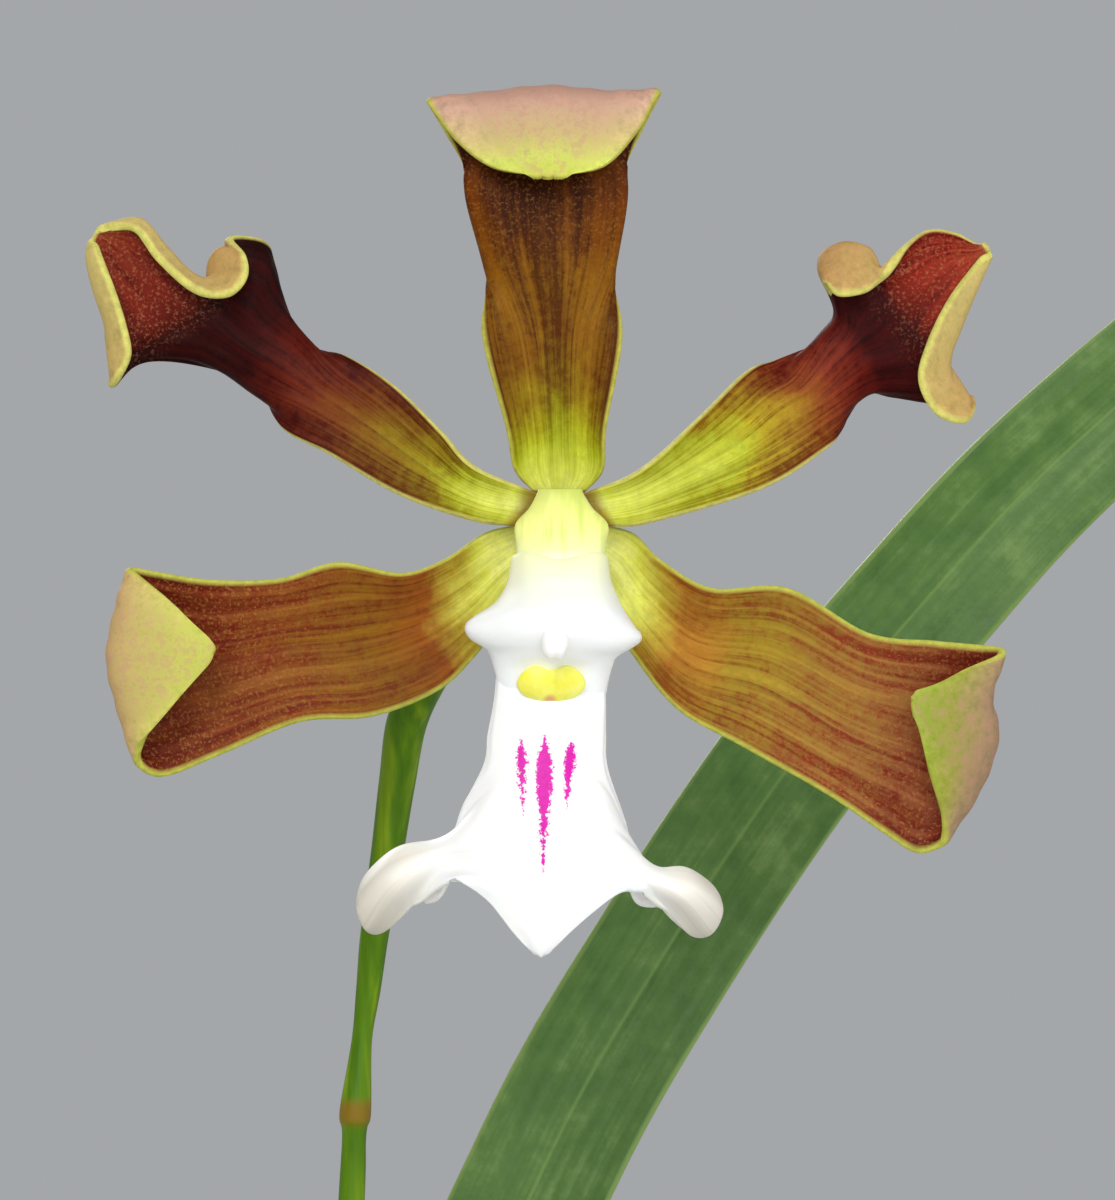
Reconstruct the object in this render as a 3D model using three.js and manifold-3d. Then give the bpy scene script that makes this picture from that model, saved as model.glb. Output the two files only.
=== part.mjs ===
// A flowering Encyclia orchid in a clay pot: one open bloom on a tall stalk, seven strap leaves,
// four pseudobulbs on a rhizome, and a bark medium. Millimetres, +Z up, origin at the centre of the
// pot's underside. The bloom faces -Y.
import * as THREE from 'three';
import Module from 'manifold-3d';
import { mergeVertices } from 'three/addons/utils/BufferGeometryUtils.js';

const wasm = await Module();
wasm.setup();

// Pot
const POT_HEIGHT = 96;
const POT_BASE_RADIUS = 37;
const POT_RIM_RADIUS = 55;
const RIM_BAND_HEIGHT = 17;
const RIM_BAND_STEP = 3;
const WALL = 4.5;
const FLOOR = 6;
const DRAIN_HOLES = 4;
const DRAIN_RADIUS = 4.5;
const DRAIN_CIRCLE = 21;
const POT_SIDES = 40;

// Bark medium
const GAP = 0.3;
const SOIL_TOP = 82;
const CHIP_COUNT = 30;
const CHIP_LENGTH = [13, 20];
const CHIP_WIDTH = [9, 13];
const CHIP_THICKNESS = [4, 5.5];

// Plant
const RHIZOME_RADIUS = 3.1;
const RHIZOME_HEIGHT = SOIL_TOP + 1.2;
const ROOT_RADIUS = 1.2;
const ROOT_COUNT = 8;
const BULB_SEAT = RHIZOME_HEIGHT + RHIZOME_RADIUS - 1;
// Each pseudobulb: x and y of its foot, height, greatest radius, lean of its tip in x and y
const BULBS = [
  { foot: [4, 2], height: 64, radius: 13, lean: [0, 1] },
  { foot: [-10, 28], height: 57, radius: 12, lean: [2, 1] },
  { foot: [-30, 6], height: 49, radius: 11, lean: [-3, 0] },
  { foot: [27, -13], height: 38, radius: 9, lean: [3, -3] },
];
// Outline of a pseudobulb: share of its height, share of its greatest radius
const BULB_OUTLINE = [
  [0, 0.5], [0.05, 0.74], [0.14, 0.94], [0.28, 1], [0.45, 0.9],
  [0.62, 0.7], [0.78, 0.48], [0.9, 0.34], [0.97, 0.3], [1, 0.28],
];

// Strap leaves
const LEAF_THICKNESS = 1;
const LEAF_FOOT_OFFSET = 3.3;
const LEAF_FOOT_FOLD = 0.5;
const LEAF_CHANNEL = 0.16;
const LEAF_WAVE = 0.35;
const LEAF_ROWS = 22;
// Leaves that arch by their own weight: bulb, compass direction, length, half width,
// how steep they start and how they end, in degrees
const ARCHED_LEAVES = [
  { bulb: 1, heading: 97, length: 180, half: 6.4, start: 84, end: -38 },
  { bulb: 0, heading: 250, length: 185, half: 6.8, start: 84, end: -58 },
  { bulb: 0, heading: 5, length: 170, half: 6.6, start: 84, end: -48 },
  { bulb: 2, heading: 232, length: 140, half: 6.2, start: 84, end: -44 },
  { bulb: 2, heading: 128, length: 150, half: 5.8, start: 88, end: -16 },
  { bulb: 3, heading: -72, length: 105, half: 5, start: 80, end: -5 },
];
// The long leaf that passes behind the bloom rises from the second pseudobulb
const TALL_LEAF_HALF = 6.3;
const TALL_LEAF_PATH = [
  [-5.2, 29.6, 0], [-3.8, 33, 34], [2.5, 40, 80], [12.8, 44, 121], [23.9, 45, 147.7], [33.7, 45.5, 165],
  [45.1, 45.5, 182], [56.3, 45, 195.5], [67, 44.5, 206.9], [83, 43, 220.5], [99, 40.5, 230], [113, 38, 234],
];

// Bloom
const BLOOM = [25, -15, 345];
const TEPAL_THICKNESS = 0.7;
const LIP_THICKNESS = 0.7;

// Flower stalk: radius at its foot, at the top joint, of the joint's ring, of the ovary
const STALK_FOOT_RADIUS = 1.4;
const STALK_TOP_RADIUS = 0.92;
const RING_RADIUS = 1.2;
const PEDICEL_RADIUS = 0.78;
const OVARY_RADIUS = 1.55;
const RECEPTACLE_RADIUS = 2.4;

// Five lines run along each sepal and petal: a margin, a line half-way, the midrib, a line half-way
// and the other margin. A row crosses them, from the base of the blade to its tip. Every point is
// [x, y, z] in mm from the bloom's centre, x to the right, y away from the front, z up.
const DORSAL_SEPAL = [
  [[-1.9, 1.6, 0.9], [-1.1, 1.6, 0.9], [-0.1, 1.6, 0.9], [0.9, 1.6, 0.9], [1.8, 1.6, 0.9]],
  [[-3.4, 1.2, 2.6], [-1.9, 1.5, 2.6], [-0.1, 1.6, 2.6], [1.7, 1.5, 2.6], [3.2, 1.2, 2.6]],
  [[-4, 0.8, 5.7], [-2.2, 1.3, 5.7], [-0.2, 1.5, 5.7], [1.7, 1.3, 5.7], [3.4, 0.8, 5.7]],
  [[-5.8, 0.7, 12.9], [-3.3, 1.2, 12.9], [-0.5, 1.3, 12.9], [2.2, 1.2, 12.9], [4.6, 0.7, 12.9]],
  [[-4.9, 3.6, 18.1], [-5.3, 1.9, 18.7], [-0.8, 1, 18.4], [3.8, 1.9, 18.7], [3.3, 3.6, 18.1]],
  [[-6.2, 3, 23.4], [-6.4, 1.9, 23.7], [-1, 1.5, 23.6], [4.4, 1.9, 23.7], [4.1, 3, 23.4]],
  [[-8.4, 1.8, 27.3], [-5.2, 2.1, 27.4], [-1.1, 2.2, 27.5], [2.9, 2.1, 27.4], [6, 1.8, 27.5]],
  [[-9.8, 0.9, 29.6], [-5.8, 1.4, 30], [-1.1, 1.5, 30.5], [3.5, 1.4, 30.1], [7.4, 0.9, 30.2]],
  [[-9.4, 0.1, 29], [-5.4, -0.6, 29.3], [-1, -0.9, 29.7], [3.2, -0.6, 29.5], [7, 0.1, 29.7]],
  [[-6.9, -0.7, 27], [-3.8, -1.4, 27], [-1, -1.7, 27.3], [2.2, -1.4, 27.2], [5.3, -0.7, 27.6]],
  [[-4.3, -1.5, 25], [-2.7, -1.9, 25.2], [-1, -2.1, 25.3], [1, -1.9, 25.2], [2.7, -1.5, 25.2]],
  [[-1.5, -2.3, 24], [-1.2, -2.4, 23.8], [-0.9, -2.4, 23.7], [-0.6, -2.4, 23.8], [-0.3, -2.3, 24]],
];
const LEFT_PETAL = [
  [[-3.3, 0, -1.6], [-2.7, 0.1, -1], [-2.1, 0.2, -0.2], [-1.8, 0.1, 0.4], [-1.6, 0, 0.8]],
  [[-6.6, 0, -1.1], [-6.4, 0.4, -0.2], [-6.3, 0.6, 0.7], [-6.3, 0.4, 1.8], [-6.3, 0, 2.8]],
  [[-11.8, 0.4, 0.7], [-11.1, 0.8, 2], [-10.3, 1, 3.2], [-9.5, 0.8, 4.3], [-8.8, 0.4, 5.5]],
  [[-17, 1, 3.7], [-15.8, 1.1, 4.9], [-14.6, 1.2, 6.3], [-13.4, 1.1, 7.6], [-12.2, 1, 8.8]],
  [[-20.4, 2.4, 5.6], [-19.2, 1.6, 6.9], [-17.9, 1.5, 8.5], [-16.7, 1.6, 10], [-15.9, 2.2, 11]],
  [[-21.7, 4.4, 8.5], [-22.6, 2.8, 8.7], [-20.5, 1.8, 10.4], [-19.1, 2.8, 12.3], [-19.9, 4.6, 11.7]],
  [[-24.4, 4.4, 10.1], [-24.8, 2.6, 10.3], [-22.8, 1.9, 11.8], [-21.5, 2.2, 15.2], [-21.3, 3.4, 17.9]],
  [[-27.3, 3.8, 10.7], [-27, 2.6, 11.4], [-24.1, 1.9, 12.8], [-22.3, 1.7, 16.6], [-22, 2.8, 19.6]],
  [[-30.2, 3, 10.9], [-29.1, 2.4, 11.6], [-25.2, 1.9, 13.7], [-24.4, 1.7, 17.5], [-24.3, 1.2, 19.8]],
  [[-32.1, 2.4, 10.2], [-30.4, 2.3, 11.6], [-25.8, 1.9, 14.1], [-25.5, 1.2, 18.3], [-23.1, -0.5, 18.3]],
  [[-33.2, 1.4, 8.7], [-31.7, 2.1, 11.2], [-26.4, 1.9, 14.6], [-25.6, 1, 16.8], [-23, -1.2, 16.6]],
  [[-32.4, -0.4, 9.4], [-32.7, 1.4, 11.2], [-27.4, 1.9, 15.3], [-26.6, 1, 16.5], [-24.3, -1.4, 15.3]],
  [[-31.6, -0.9, 10.9], [-33.1, 1.2, 12.5], [-28.7, 1.8, 16.3], [-27.8, 1, 17.3], [-26.7, -1.3, 15.6]],
  [[-31.9, -0.9, 12.8], [-33.3, 1, 13.8], [-30.2, 1.6, 17.5], [-29.4, 0.9, 19.1], [-29.4, -1, 17.9]],
  [[-32.6, -0.8, 15.2], [-34.1, 0.8, 16], [-31.9, 1.3, 18.7], [-30.9, 0.7, 20.7], [-31.1, -0.4, 20.1]],
  [[-33.6, -0.4, 17.8], [-34.6, 0.6, 18.2], [-33.3, 0.9, 19.6], [-32.5, 0.6, 20.6], [-32.9, 0.2, 20.4]],
  [[-34.2, 0.2, 19.3], [-34.4, 0.4, 19.5], [-34.4, 0.5, 19.8], [-34.2, 0.5, 20.1], [-33.8, 0.3, 20.2]],
];
const RIGHT_PETAL = [
  [[1.7, 0, 0.8], [2, 0.1, 0.4], [2.3, 0.2, -0.2], [2.9, 0.1, -1], [3.4, 0, -1.6]],
  [[5.9, 0, 2.6], [6, 0.4, 1.7], [6.2, 0.6, 0.7], [6.5, 0.4, -0.3], [6.6, 0, -1.3]],
  [[10.3, 0.4, 6.6], [11.3, 0.8, 5.3], [12.5, 1, 3.9], [13.6, 0.8, 2.5], [14.7, 0.4, 1.1]],
  [[13.6, 1, 9.8], [14.9, 1.1, 8.3], [16.4, 1.2, 6.9], [18, 1.1, 5], [19.3, 1, 3.9]],
  [[15.8, 2.4, 10.6], [17, 1.6, 9.5], [18.6, 1.5, 8.3], [20.1, 1.8, 6.6], [20.6, 2.6, 5.4]],
  [[20.1, 4.6, 12], [19.4, 2.8, 12.4], [20.9, 1.8, 10.6], [22.6, 2.8, 8.5], [22.1, 4.6, 8.9]],
  [[21.2, 4.2, 14], [20.6, 2.6, 14.3], [22.1, 1.9, 11.7], [24.4, 2.6, 8.8], [24.7, 4.2, 8.3]],
  [[19.6, 0.6, 16.3], [19.5, 2, 17.8], [23.1, 1.9, 12.4], [26.2, 2.4, 8.7], [27.8, 3.2, 7.7]],
  [[20.4, -0.6, 15.3], [20.9, 1.2, 19], [23.9, 1.9, 13.1], [28.6, 1.8, 8.7], [30.5, 1.4, 7.6]],
  [[22.5, -0.4, 15.6], [22.6, 1.3, 18.7], [24.7, 1.9, 13.8], [29.5, 1.1, 8.6], [29.8, -0.6, 6]],
  [[23.9, 0.6, 16.9], [23.6, 1.4, 17.1], [25.5, 1.9, 14.6], [28.6, 1, 9.8], [27.6, -1.2, 6.6]],
  [[25.3, 1.2, 19], [25.2, 1.6, 17.7], [26.6, 1.8, 15.5], [28.6, 0.9, 11.3], [26.3, -1.2, 9]],
  [[27.1, 1.4, 20.3], [26.9, 1.7, 18.6], [27.9, 1.7, 16.6], [29.4, 0.8, 13.4], [26.9, -1, 11.7]],
  [[29.1, 1.2, 20.1], [28.9, 1.5, 19], [29.3, 1.5, 17.7], [30.4, 0.7, 15.8], [28.4, -0.6, 14.8]],
  [[30.6, 0.9, 19.3], [30.5, 1, 18.9], [30.6, 1.1, 18.4], [31.2, 0.6, 17.6], [30.1, 0, 17.1]],
  [[31.2, 0.5, 19.3], [31.4, 0.5, 19.1], [31.6, 0.5, 18.9], [31.6, 0.5, 18.6], [31.4, 0.3, 18.3]],
];
const LEFT_SEPAL = [
  [[-1.9, 2.2, -3.7], [-1.8, 2.2, -3.2], [-1.7, 2.2, -2.6], [-1.9, 2.2, -1.9], [-2.4, 2.2, -1.3]],
  [[-3.9, 2, -7.9], [-4, 2.2, -6.1], [-4.2, 2.3, -4.5], [-4.8, 2.2, -3.2], [-5.5, 2, -2]],
  [[-6.5, 1.6, -11.4], [-6.8, 2.1, -9.4], [-7.4, 2.3, -7.3], [-8.1, 2.1, -5.4], [-8.6, 1.8, -4]],
  [[-9.2, 1.4, -13.8], [-9.8, 2, -11.6], [-10.6, 2.2, -9.1], [-11.4, 1.9, -6.9], [-11.8, 1.4, -5]],
  [[-13.9, 1.2, -15.6], [-14.4, 2, -13.2], [-15.2, 2.3, -10.3], [-15.8, 1.8, -7.3], [-16.4, 1, -4.2]],
  [[-19.2, 1.2, -16], [-19.8, 2, -13.7], [-20.4, 2.4, -10.8], [-20.6, 2, -8], [-20.7, 1.4, -5.4]],
  [[-25, 1.4, -18.4], [-25.3, 2.2, -15.4], [-25.6, 2.6, -12], [-25.7, 2.2, -8.6], [-25.7, 1.4, -5.5]],
  [[-29.1, 1.2, -20], [-30.2, 2.1, -16.8], [-30.6, 2.4, -12], [-30.2, 2.1, -8], [-29.8, 1.2, -4.9]],
  [[-30.9, 0.6, -19.4], [-32.2, 1, -15.3], [-33, 1, -11.4], [-32.4, 1, -7.6], [-31.5, 0.6, -4.6]],
  [[-30.9, -0.2, -18.2], [-31.7, -0.5, -14.9], [-32.3, -0.6, -11.3],
   [-31.7, -0.5, -7.9], [-31, -0.2, -5.1]],
  [[-30.4, -0.9, -17.1], [-29.5, -1.5, -14.5], [-28.9, -1.7, -11],
   [-28.9, -1.5, -8.6], [-28.8, -0.9, -6.9]],
  [[-28.1, -1.5, -14.3], [-27.3, -1.9, -12.7], [-26.9, -2.1, -10.8],
   [-26.9, -1.9, -9.6], [-26.8, -1.5, -8.9]],
  [[-25.5, -2.1, -11.2], [-25.3, -2.2, -10.9], [-25.2, -2.2, -10.7],
   [-25.2, -2.2, -10.4], [-25.4, -2.1, -10.1]],
];
const RIGHT_SEPAL = [
  [[2.2, 2.2, -1.3], [1.8, 2.2, -1.9], [1.6, 2.2, -2.6], [1.7, 2.2, -3.2], [1.8, 2.2, -3.7]],
  [[5.3, 2, -2], [4.7, 2.2, -3.2], [4.1, 2.3, -4.5], [3.7, 2.2, -6.1], [3.5, 2, -7.9]],
  [[7.4, 1.8, -4], [6.9, 2.1, -5.7], [6.3, 2.3, -7.6], [5.8, 2.1, -9.5], [5.4, 1.6, -11.1]],
  [[11.2, 1.4, -6.1], [10.5, 1.9, -8.5], [9.9, 2.2, -10.8], [9.2, 2, -13.2], [8.7, 1.4, -15.1]],
  [[16.8, 1, -6.1], [16.2, 1.8, -9.1], [15.4, 2.3, -12], [14.5, 2, -15.1], [13.4, 1.2, -17.8]],
  [[22.7, 1.4, -9.4], [22.2, 2, -12.2], [21.4, 2.4, -15.3], [20.5, 2, -18.5], [19.6, 1.2, -21.3]],
  [[27.6, 1.2, -10], [27, 2.1, -13.3], [26, 2.5, -16.8], [24.9, 2.1, -20.6], [23.7, 1.2, -24.1]],
  [[30.8, 1, -10.3], [30.1, 2, -13.7], [29.2, 2.3, -17.6], [27.8, 2, -21.9], [26.1, 1, -25.6]],
  [[32.5, 0.5, -10.5], [31.5, 0.9, -13.9], [31.9, 1, -17.1], [30.6, 0.9, -21], [27.7, 0.5, -25.3]],
  [[32.2, -0.2, -11], [31, -0.5, -14.3], [31.1, -0.6, -16.9], [29.9, -0.5, -20.4], [28.1, -0.2, -24.5]],
  [[29.8, -0.9, -12], [28.8, -1.5, -14], [28.6, -1.7, -15.8], [28.6, -1.5, -19.3], [27.9, -0.9, -22.6]],
  [[27.8, -1.6, -13], [27.2, -1.9, -14], [27, -2.1, -15], [27.2, -1.9, -17], [26.9, -1.6, -19.3]],
  [[25.9, -2.1, -13.7], [25.8, -2.2, -13.9], [25.6, -2.2, -14.1],
   [25.7, -2.2, -14.4], [25.9, -2.1, -14.7]],
];
// Nine lines run along the lip's middle lobe, and rows cross them from its tip to its base. Each corner
// of the lobe rolls back over its upper edge, so its margin hangs behind it.
const LIP_MIDDLE = [
  [[-1.9, -4.4, -32.7], [-1.8, -4.4, -32.7], [-1.7, -4.4, -32.8], [-1.5, -4.4, -32.9], [-1.4, -4.4, -33],
   [-1.3, -4.4, -32.9], [-1.1, -4.4, -32.8], [-1, -4.4, -32.7], [-0.9, -4.4, -32.7]],
  [[-3.4, -4.6, -31.1], [-3, -4.7, -31.1], [-2.7, -4.8, -31.1], [-2.1, -5, -31.2], [-1.4, -5, -31.3],
   [-0.6, -5, -31.1], [0.1, -4.8, -31], [0.5, -4.7, -30.9], [0.9, -4.6, -30.8]],
  [[-5.2, -4.8, -28.8], [-4.6, -5, -28.9], [-4, -5.2, -28.9], [-2.8, -5.4, -29.1], [-1.4, -5.5, -29.1],
   [0.2, -5.4, -29.1], [1.9, -5.2, -28.9], [2.6, -5, -28.9], [3.4, -4.8, -28.8]],
  [[-7, -4.4, -27.6], [-6.2, -4.8, -27.6], [-5.3, -5.2, -27.6], [-3.4, -5.6, -27.6], [-1.3, -5.8, -27.4],
   [0.9, -5.6, -27.6], [3.1, -5.2, -27.8], [3.9, -4.8, -28], [4.8, -4.4, -28.2]],
  [[-8.7, -3.2, -27.5], [-8, -3.7, -27.3], [-7.1, -4.2, -27], [-4.4, -5.4, -26.9], [-1.3, -5.9, -26.8],
   [2.2, -5.4, -27], [5.1, -4.2, -27.8], [5.7, -3.7, -28], [6.4, -3.2, -28.3]],
  [[-10.8, -2.4, -29.4], [-9.6, -3.1, -28.1], [-8.2, -4, -26.7], [-4.8, -5.4, -26.3], [-1.3, -6, -26.1],
   [2.4, -5.4, -26.4], [5.7, -4, -27.5], [6.8, -3.1, -28.5], [7.8, -2.4, -29.9]],
  [[-12.8, -1.6, -31.2], [-11, -2.9, -28.8], [-8.6, -3.9, -26.4], [-5.2, -5.4, -25.7], [-1.2, -6, -25.5],
   [2.9, -5.4, -25.9], [6, -3.9, -27.4], [7.9, -2.9, -29.1], [9.6, -1.6, -31.6]],
  [[-14.2, -1.4, -31.3], [-11.9, -3, -28], [-8.9, -3.9, -25.9], [-5.7, -5.4, -25.1], [-1.2, -6, -25],
   [3.2, -5.4, -25.4], [6.3, -3.9, -27.2], [9, -3, -28.7], [11.1, -1.4, -31.5]],
  [[-14.9, -1.2, -29.6], [-12.6, -2.8, -26.9], [-9.1, -3.7, -25.4], [-6, -5.4, -24.6], [-1.1, -6, -24.5],
   [3.4, -5.4, -24.9], [6.6, -3.7, -27], [9.6, -2.8, -27.9], [11.9, -1.2, -29.8]],
  [[-14.3, 0.4, -27.5], [-11.8, -1.2, -25.4], [-9, -2.6, -24.8], [-5.8, -5.2, -23.5], [-1, -6, -23.7],
   [3.4, -5.2, -24.1], [6.8, -2.6, -26.7], [9.1, -1.2, -26.9], [11.2, 0.4, -28.3]],
  [[-12, 2.4, -28], [-10.5, 1.4, -26.6], [-8.4, -1.6, -24.7], [-5.2, -5, -22.6], [-1, -5.9, -22.6],
   [3, -5, -23.2], [6.2, -1.6, -26.5], [7.7, 1.4, -28], [9.2, 2.4, -29]],
  [[-9.8, 1.6, -29.4], [-9.1, 1.2, -27.6], [-7.9, -1.2, -24.6], [-4.9, -5, -22.1], [-1, -5.8, -22.1],
   [2.8, -5, -22.6], [5.8, -1.2, -26], [6.4, 1.2, -28.3], [6.7, 1.6, -29.7]],
  [[-8.3, 0.8, -28.1], [-8, 0.2, -26.3], [-7.3, -1.6, -23.8], [-4.5, -5, -21.7], [-0.9, -5.7, -21.6],
   [2.7, -5, -22.1], [5.1, -1.6, -25], [5.3, 0.2, -27], [5.2, 0.8, -28.7]],
  [[-7.3, -0.8, -23.4], [-6.9, -1.9, -22.5], [-6.4, -3, -21.6], [-4, -5, -21.2], [-0.9, -5.7, -21.2],
   [2.5, -5, -21.5], [3.9, -3, -22.3], [4.4, -1.9, -23.4], [4.8, -0.8, -24.3]],
  [[-5.4, -2.8, -19.1], [-5.1, -3.4, -19.1], [-4.7, -4, -19.1], [-3.1, -5, -19.1], [-0.8, -5.3, -19],
   [1.4, -5, -19.2], [2.8, -4, -19.4], [3, -3.4, -19.4], [3.3, -2.8, -19.4]],
  [[-5.1, -2.6, -16.9], [-4.8, -3.1, -16.8], [-4.5, -3.6, -16.8], [-2.9, -4.6, -16.8], [-0.7, -4.8, -16.8],
   [1.4, -4.6, -16.8], [2.7, -3.6, -16.8], [2.9, -3.1, -16.8], [3.1, -2.6, -16.9]],
  [[-4.6, -2.4, -14.3], [-4.4, -2.8, -14.3], [-4.2, -3.2, -14.3], [-2.7, -4.2, -14.3], [-0.7, -4.4, -14.3],
   [1.4, -4.2, -14.3], [2.8, -3.2, -14.3], [2.9, -2.8, -14.3], [3.1, -2.4, -14.3]],
  [[-4.3, -2, -11.4], [-4.1, -2.4, -11.4], [-3.9, -2.8, -11.4], [-2.5, -3.4, -11.4], [-0.6, -3.6, -11.4],
   [1.3, -3.4, -11.4], [2.6, -2.8, -11.4], [2.8, -2.4, -11.4], [3.1, -2, -11.4]],
  [[-3.3, -0.2, -7], [-3.1, -0.3, -7], [-2.8, -0.4, -7], [-1.9, -0.6, -7], [-0.3, -0.7, -7],
   [1.2, -0.6, -7], [2, -0.4, -7], [2.3, -0.3, -7], [2.6, -0.2, -7]],
  [[-2.1, 1, -2.7], [-1.8, 0.9, -2.7], [-1.6, 0.9, -2.7], [-0.9, 0.8, -2.6], [-0.1, 0.8, -2.6],
   [0.7, 0.8, -2.6], [1.4, 0.9, -2.7], [1.6, 0.9, -2.7], [1.9, 1, -2.7]],
];
// Three lines run down each side lobe of the lip: at its root, along its bend, along its free edge.
const LIP_LEFT_LOBE = [
  [[-1.9, 1.1, -3.2], [-3.5, -0.4, -3.5], [-3.2, -2.2, -3.5]],
  [[-2.2, 0.2, -5.5], [-4, -1.2, -5.5], [-3.6, -3.4, -5.5]],
  [[-2.4, -0.6, -7], [-4.8, -2.2, -7], [-4.2, -5, -7.1]],
  [[-2.7, -1.4, -8.1], [-5.7, -3.4, -8], [-4.9, -6, -7.9]],
  [[-2.9, -2.2, -9.1], [-5.1, -4.2, -9], [-6.8, -5.6, -9.1]],
  [[-3.1, -2.8, -10.3], [-4.6, -4, -10.3], [-5.6, -4.8, -10.1]],
  [[-3.2, -3.4, -11.7], [-4.2, -3.6, -11.7], [-4.8, -3.6, -11.7]],
  [[-3.1, -4, -13.6], [-3.9, -3.6, -13.6], [-4.5, -3, -13.6]],
];
const LIP_RIGHT_LOBE = [
  [[1.9, 1.1, -3.2], [3.4, -0.4, -3.5], [3.2, -2.2, -3.5]],
  [[2.2, 0.2, -5.5], [3.9, -1.2, -5.5], [3.6, -3.4, -5.5]],
  [[2.3, -0.6, -7], [4.4, -2.2, -7], [3.8, -5, -7.1]],
  [[2.5, -1.4, -8.3], [5.1, -3.4, -8.3], [4.1, -6, -8]],
  [[2.2, -2.2, -9.5], [4.1, -4.2, -9.3], [5.7, -5.6, -9.6]],
  [[1.9, -2.8, -10.5], [3.5, -4, -10.5], [4.6, -4.8, -10.4]],
  [[1.7, -3.4, -11.7], [2.9, -3.6, -11.7], [3.6, -3.6, -11.7]],
  [[1.7, -4, -13.6], [2.6, -3.6, -13.6], [3.1, -3, -13.6]],
];
// Column: [x, y, z] of its middle, half its width, half its depth, from its foot to its tip
const COLUMN = [
  [0, -1.9, 1.1, 1.3, 0.8], [0, -1.95, 0.5, 1.6, 1.05], [0, -2.1, -0.6, 2.2, 1.2],
  [0, -2.4, -2.2, 2.9, 1.5], [0, -2.8, -4, 2.9, 1.8], [-0.1, -3.6, -6, 2.7, 1.9],
  [-0.2, -4.6, -8.2, 2.5, 1.9], [-0.4, -5.5, -9.8, 1.9, 1.5], [-0.5, -6, -10.8, 0.9, 0.8],
];
const COLUMN_FOOT = { centre: [0, -0.7], radius: 1.1, from: -1.4, to: 2.6 };
const ANTHER = { centre: [-0.5, -7.9, -9.8], radii: [1, 0.8, 1.2] };
// The two lumps of the callus on the lip
const CALLUS = [[-1.8, -4.5, -12.9], [0.7, -4.5, -12.9]];
const CALLUS_RADII = [1.3, 0.9, 1.2];
// The bloom's own stalk, from the joint ring to the back of the bloom, from the bloom's centre
const PEDICEL_PATH = [
  [-15.8, 20, -46.5],
  [-15.3, 20, -41],
  [-14.8, 20, -37.1],
  [-14.3, 19.5, -32.8],
  [-13.3, 19, -26.4],
  [-12.5, 18.5, -20.8],
  [-11.7, 17.5, -16.2],
  [-9.9, 15.5, -12.5],
  [-7.4, 12.8, -8.8],
  [-4.5, 10.4, -5.5],
  [-2, 7.6, -2.8],
  [-0.3, 4, -0.6],
];

// A small seeded random source, so every build is the same
function randomSource(seed) {
  let state = seed;
  return () => {
    state = (state * 1664525 + 1013904223) % 4294967296;
    return state / 4294967296;
  };
}

const mix = (a, b, t) => a + (b - a) * t;
const between = (random, [low, high]) => mix(low, high, random());

// Smooth curve through a list of number lists (Catmull-Rom), read at count even steps
function smooth(rows, count) {
  const last = rows.length - 1;
  const slope = (i, k) => {
    if (i === 0) return rows[1][k] - rows[0][k];
    if (i === last) return rows[last][k] - rows[last - 1][k];
    return (rows[i + 1][k] - rows[i - 1][k]) / 2;
  };
  return Array.from({ length: count }, (_, n) => {
    const t = (n * last) / (count - 1);
    const i = Math.min(Math.floor(t), last - 1);
    const s = t - i;
    return rows[i].map((value, k) =>
      (2 * s ** 3 - 3 * s ** 2 + 1) * value
      + (s ** 3 - 2 * s ** 2 + s) * slope(i, k)
      + (3 * s ** 2 - 2 * s ** 3) * rows[i + 1][k]
      + (s ** 3 - s ** 2) * slope(i + 1, k));
  });
}

// Smooth surface through rows of points: rows are smoothed along the blade, then across it
function smoothNet(rows, along, across) {
  const flat = smooth(rows.map((row) => row.flat()), along);
  return flat.map((values) => {
    const points = [];
    for (let k = 0; k < values.length; k += 3) points.push(values.slice(k, k + 3));
    return smooth(points, across).map((p) => new THREE.Vector3(...p));
  });
}

function indexedGeometry(points, triangles) {
  const geometry = new THREE.BufferGeometry();
  geometry.setAttribute('position', new THREE.Float32BufferAttribute(points.flatMap((p) => p.toArray()), 3));
  geometry.setIndex(triangles);
  return geometry;
}

// A closed blade: the grid is moved half the thickness to either side along its own normals, both
// faces are split into the same triangles, and a narrow wall joins them round the margin.
function blade(grid, thickness) {
  const rows = grid.length;
  const columns = grid[0].length;
  const at = (i, j) => grid[Math.max(0, Math.min(rows - 1, i))][Math.max(0, Math.min(columns - 1, j))];
  const front = [];
  const back = [];
  for (let i = 0; i < rows; i++) {
    for (let j = 0; j < columns; j++) {
      const along = at(i + 1, j).clone().sub(at(i - 1, j));
      const across = at(i, j + 1).clone().sub(at(i, j - 1));
      const normal = across.cross(along).normalize().multiplyScalar(thickness / 2);
      front.push(grid[i][j].clone().add(normal));
      back.push(grid[i][j].clone().sub(normal));
    }
  }
  const triangles = [];
  const other = rows * columns;
  const id = (i, j) => i * columns + j;
  for (let i = 0; i < rows - 1; i++) {
    for (let j = 0; j < columns - 1; j++) {
      const [a, b, c, d] = [id(i, j), id(i + 1, j), id(i + 1, j + 1), id(i, j + 1)];
      triangles.push(a, d, c, a, c, b);
      triangles.push(other + a, other + c, other + d, other + a, other + b, other + c);
    }
  }
  const margin = [];
  for (let j = 0; j < columns - 1; j++) margin.push(id(0, j));
  for (let i = 0; i < rows - 1; i++) margin.push(id(i, columns - 1));
  for (let j = columns - 1; j > 0; j--) margin.push(id(rows - 1, j));
  for (let i = rows - 1; i > 0; i--) margin.push(id(i, 0));
  margin.forEach((p, n) => {
    const q = margin[(n + 1) % margin.length];
    triangles.push(q, p, other + p, q, other + p, other + q);
  });
  return indexedGeometry([...front, ...back], triangles);
}

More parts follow.
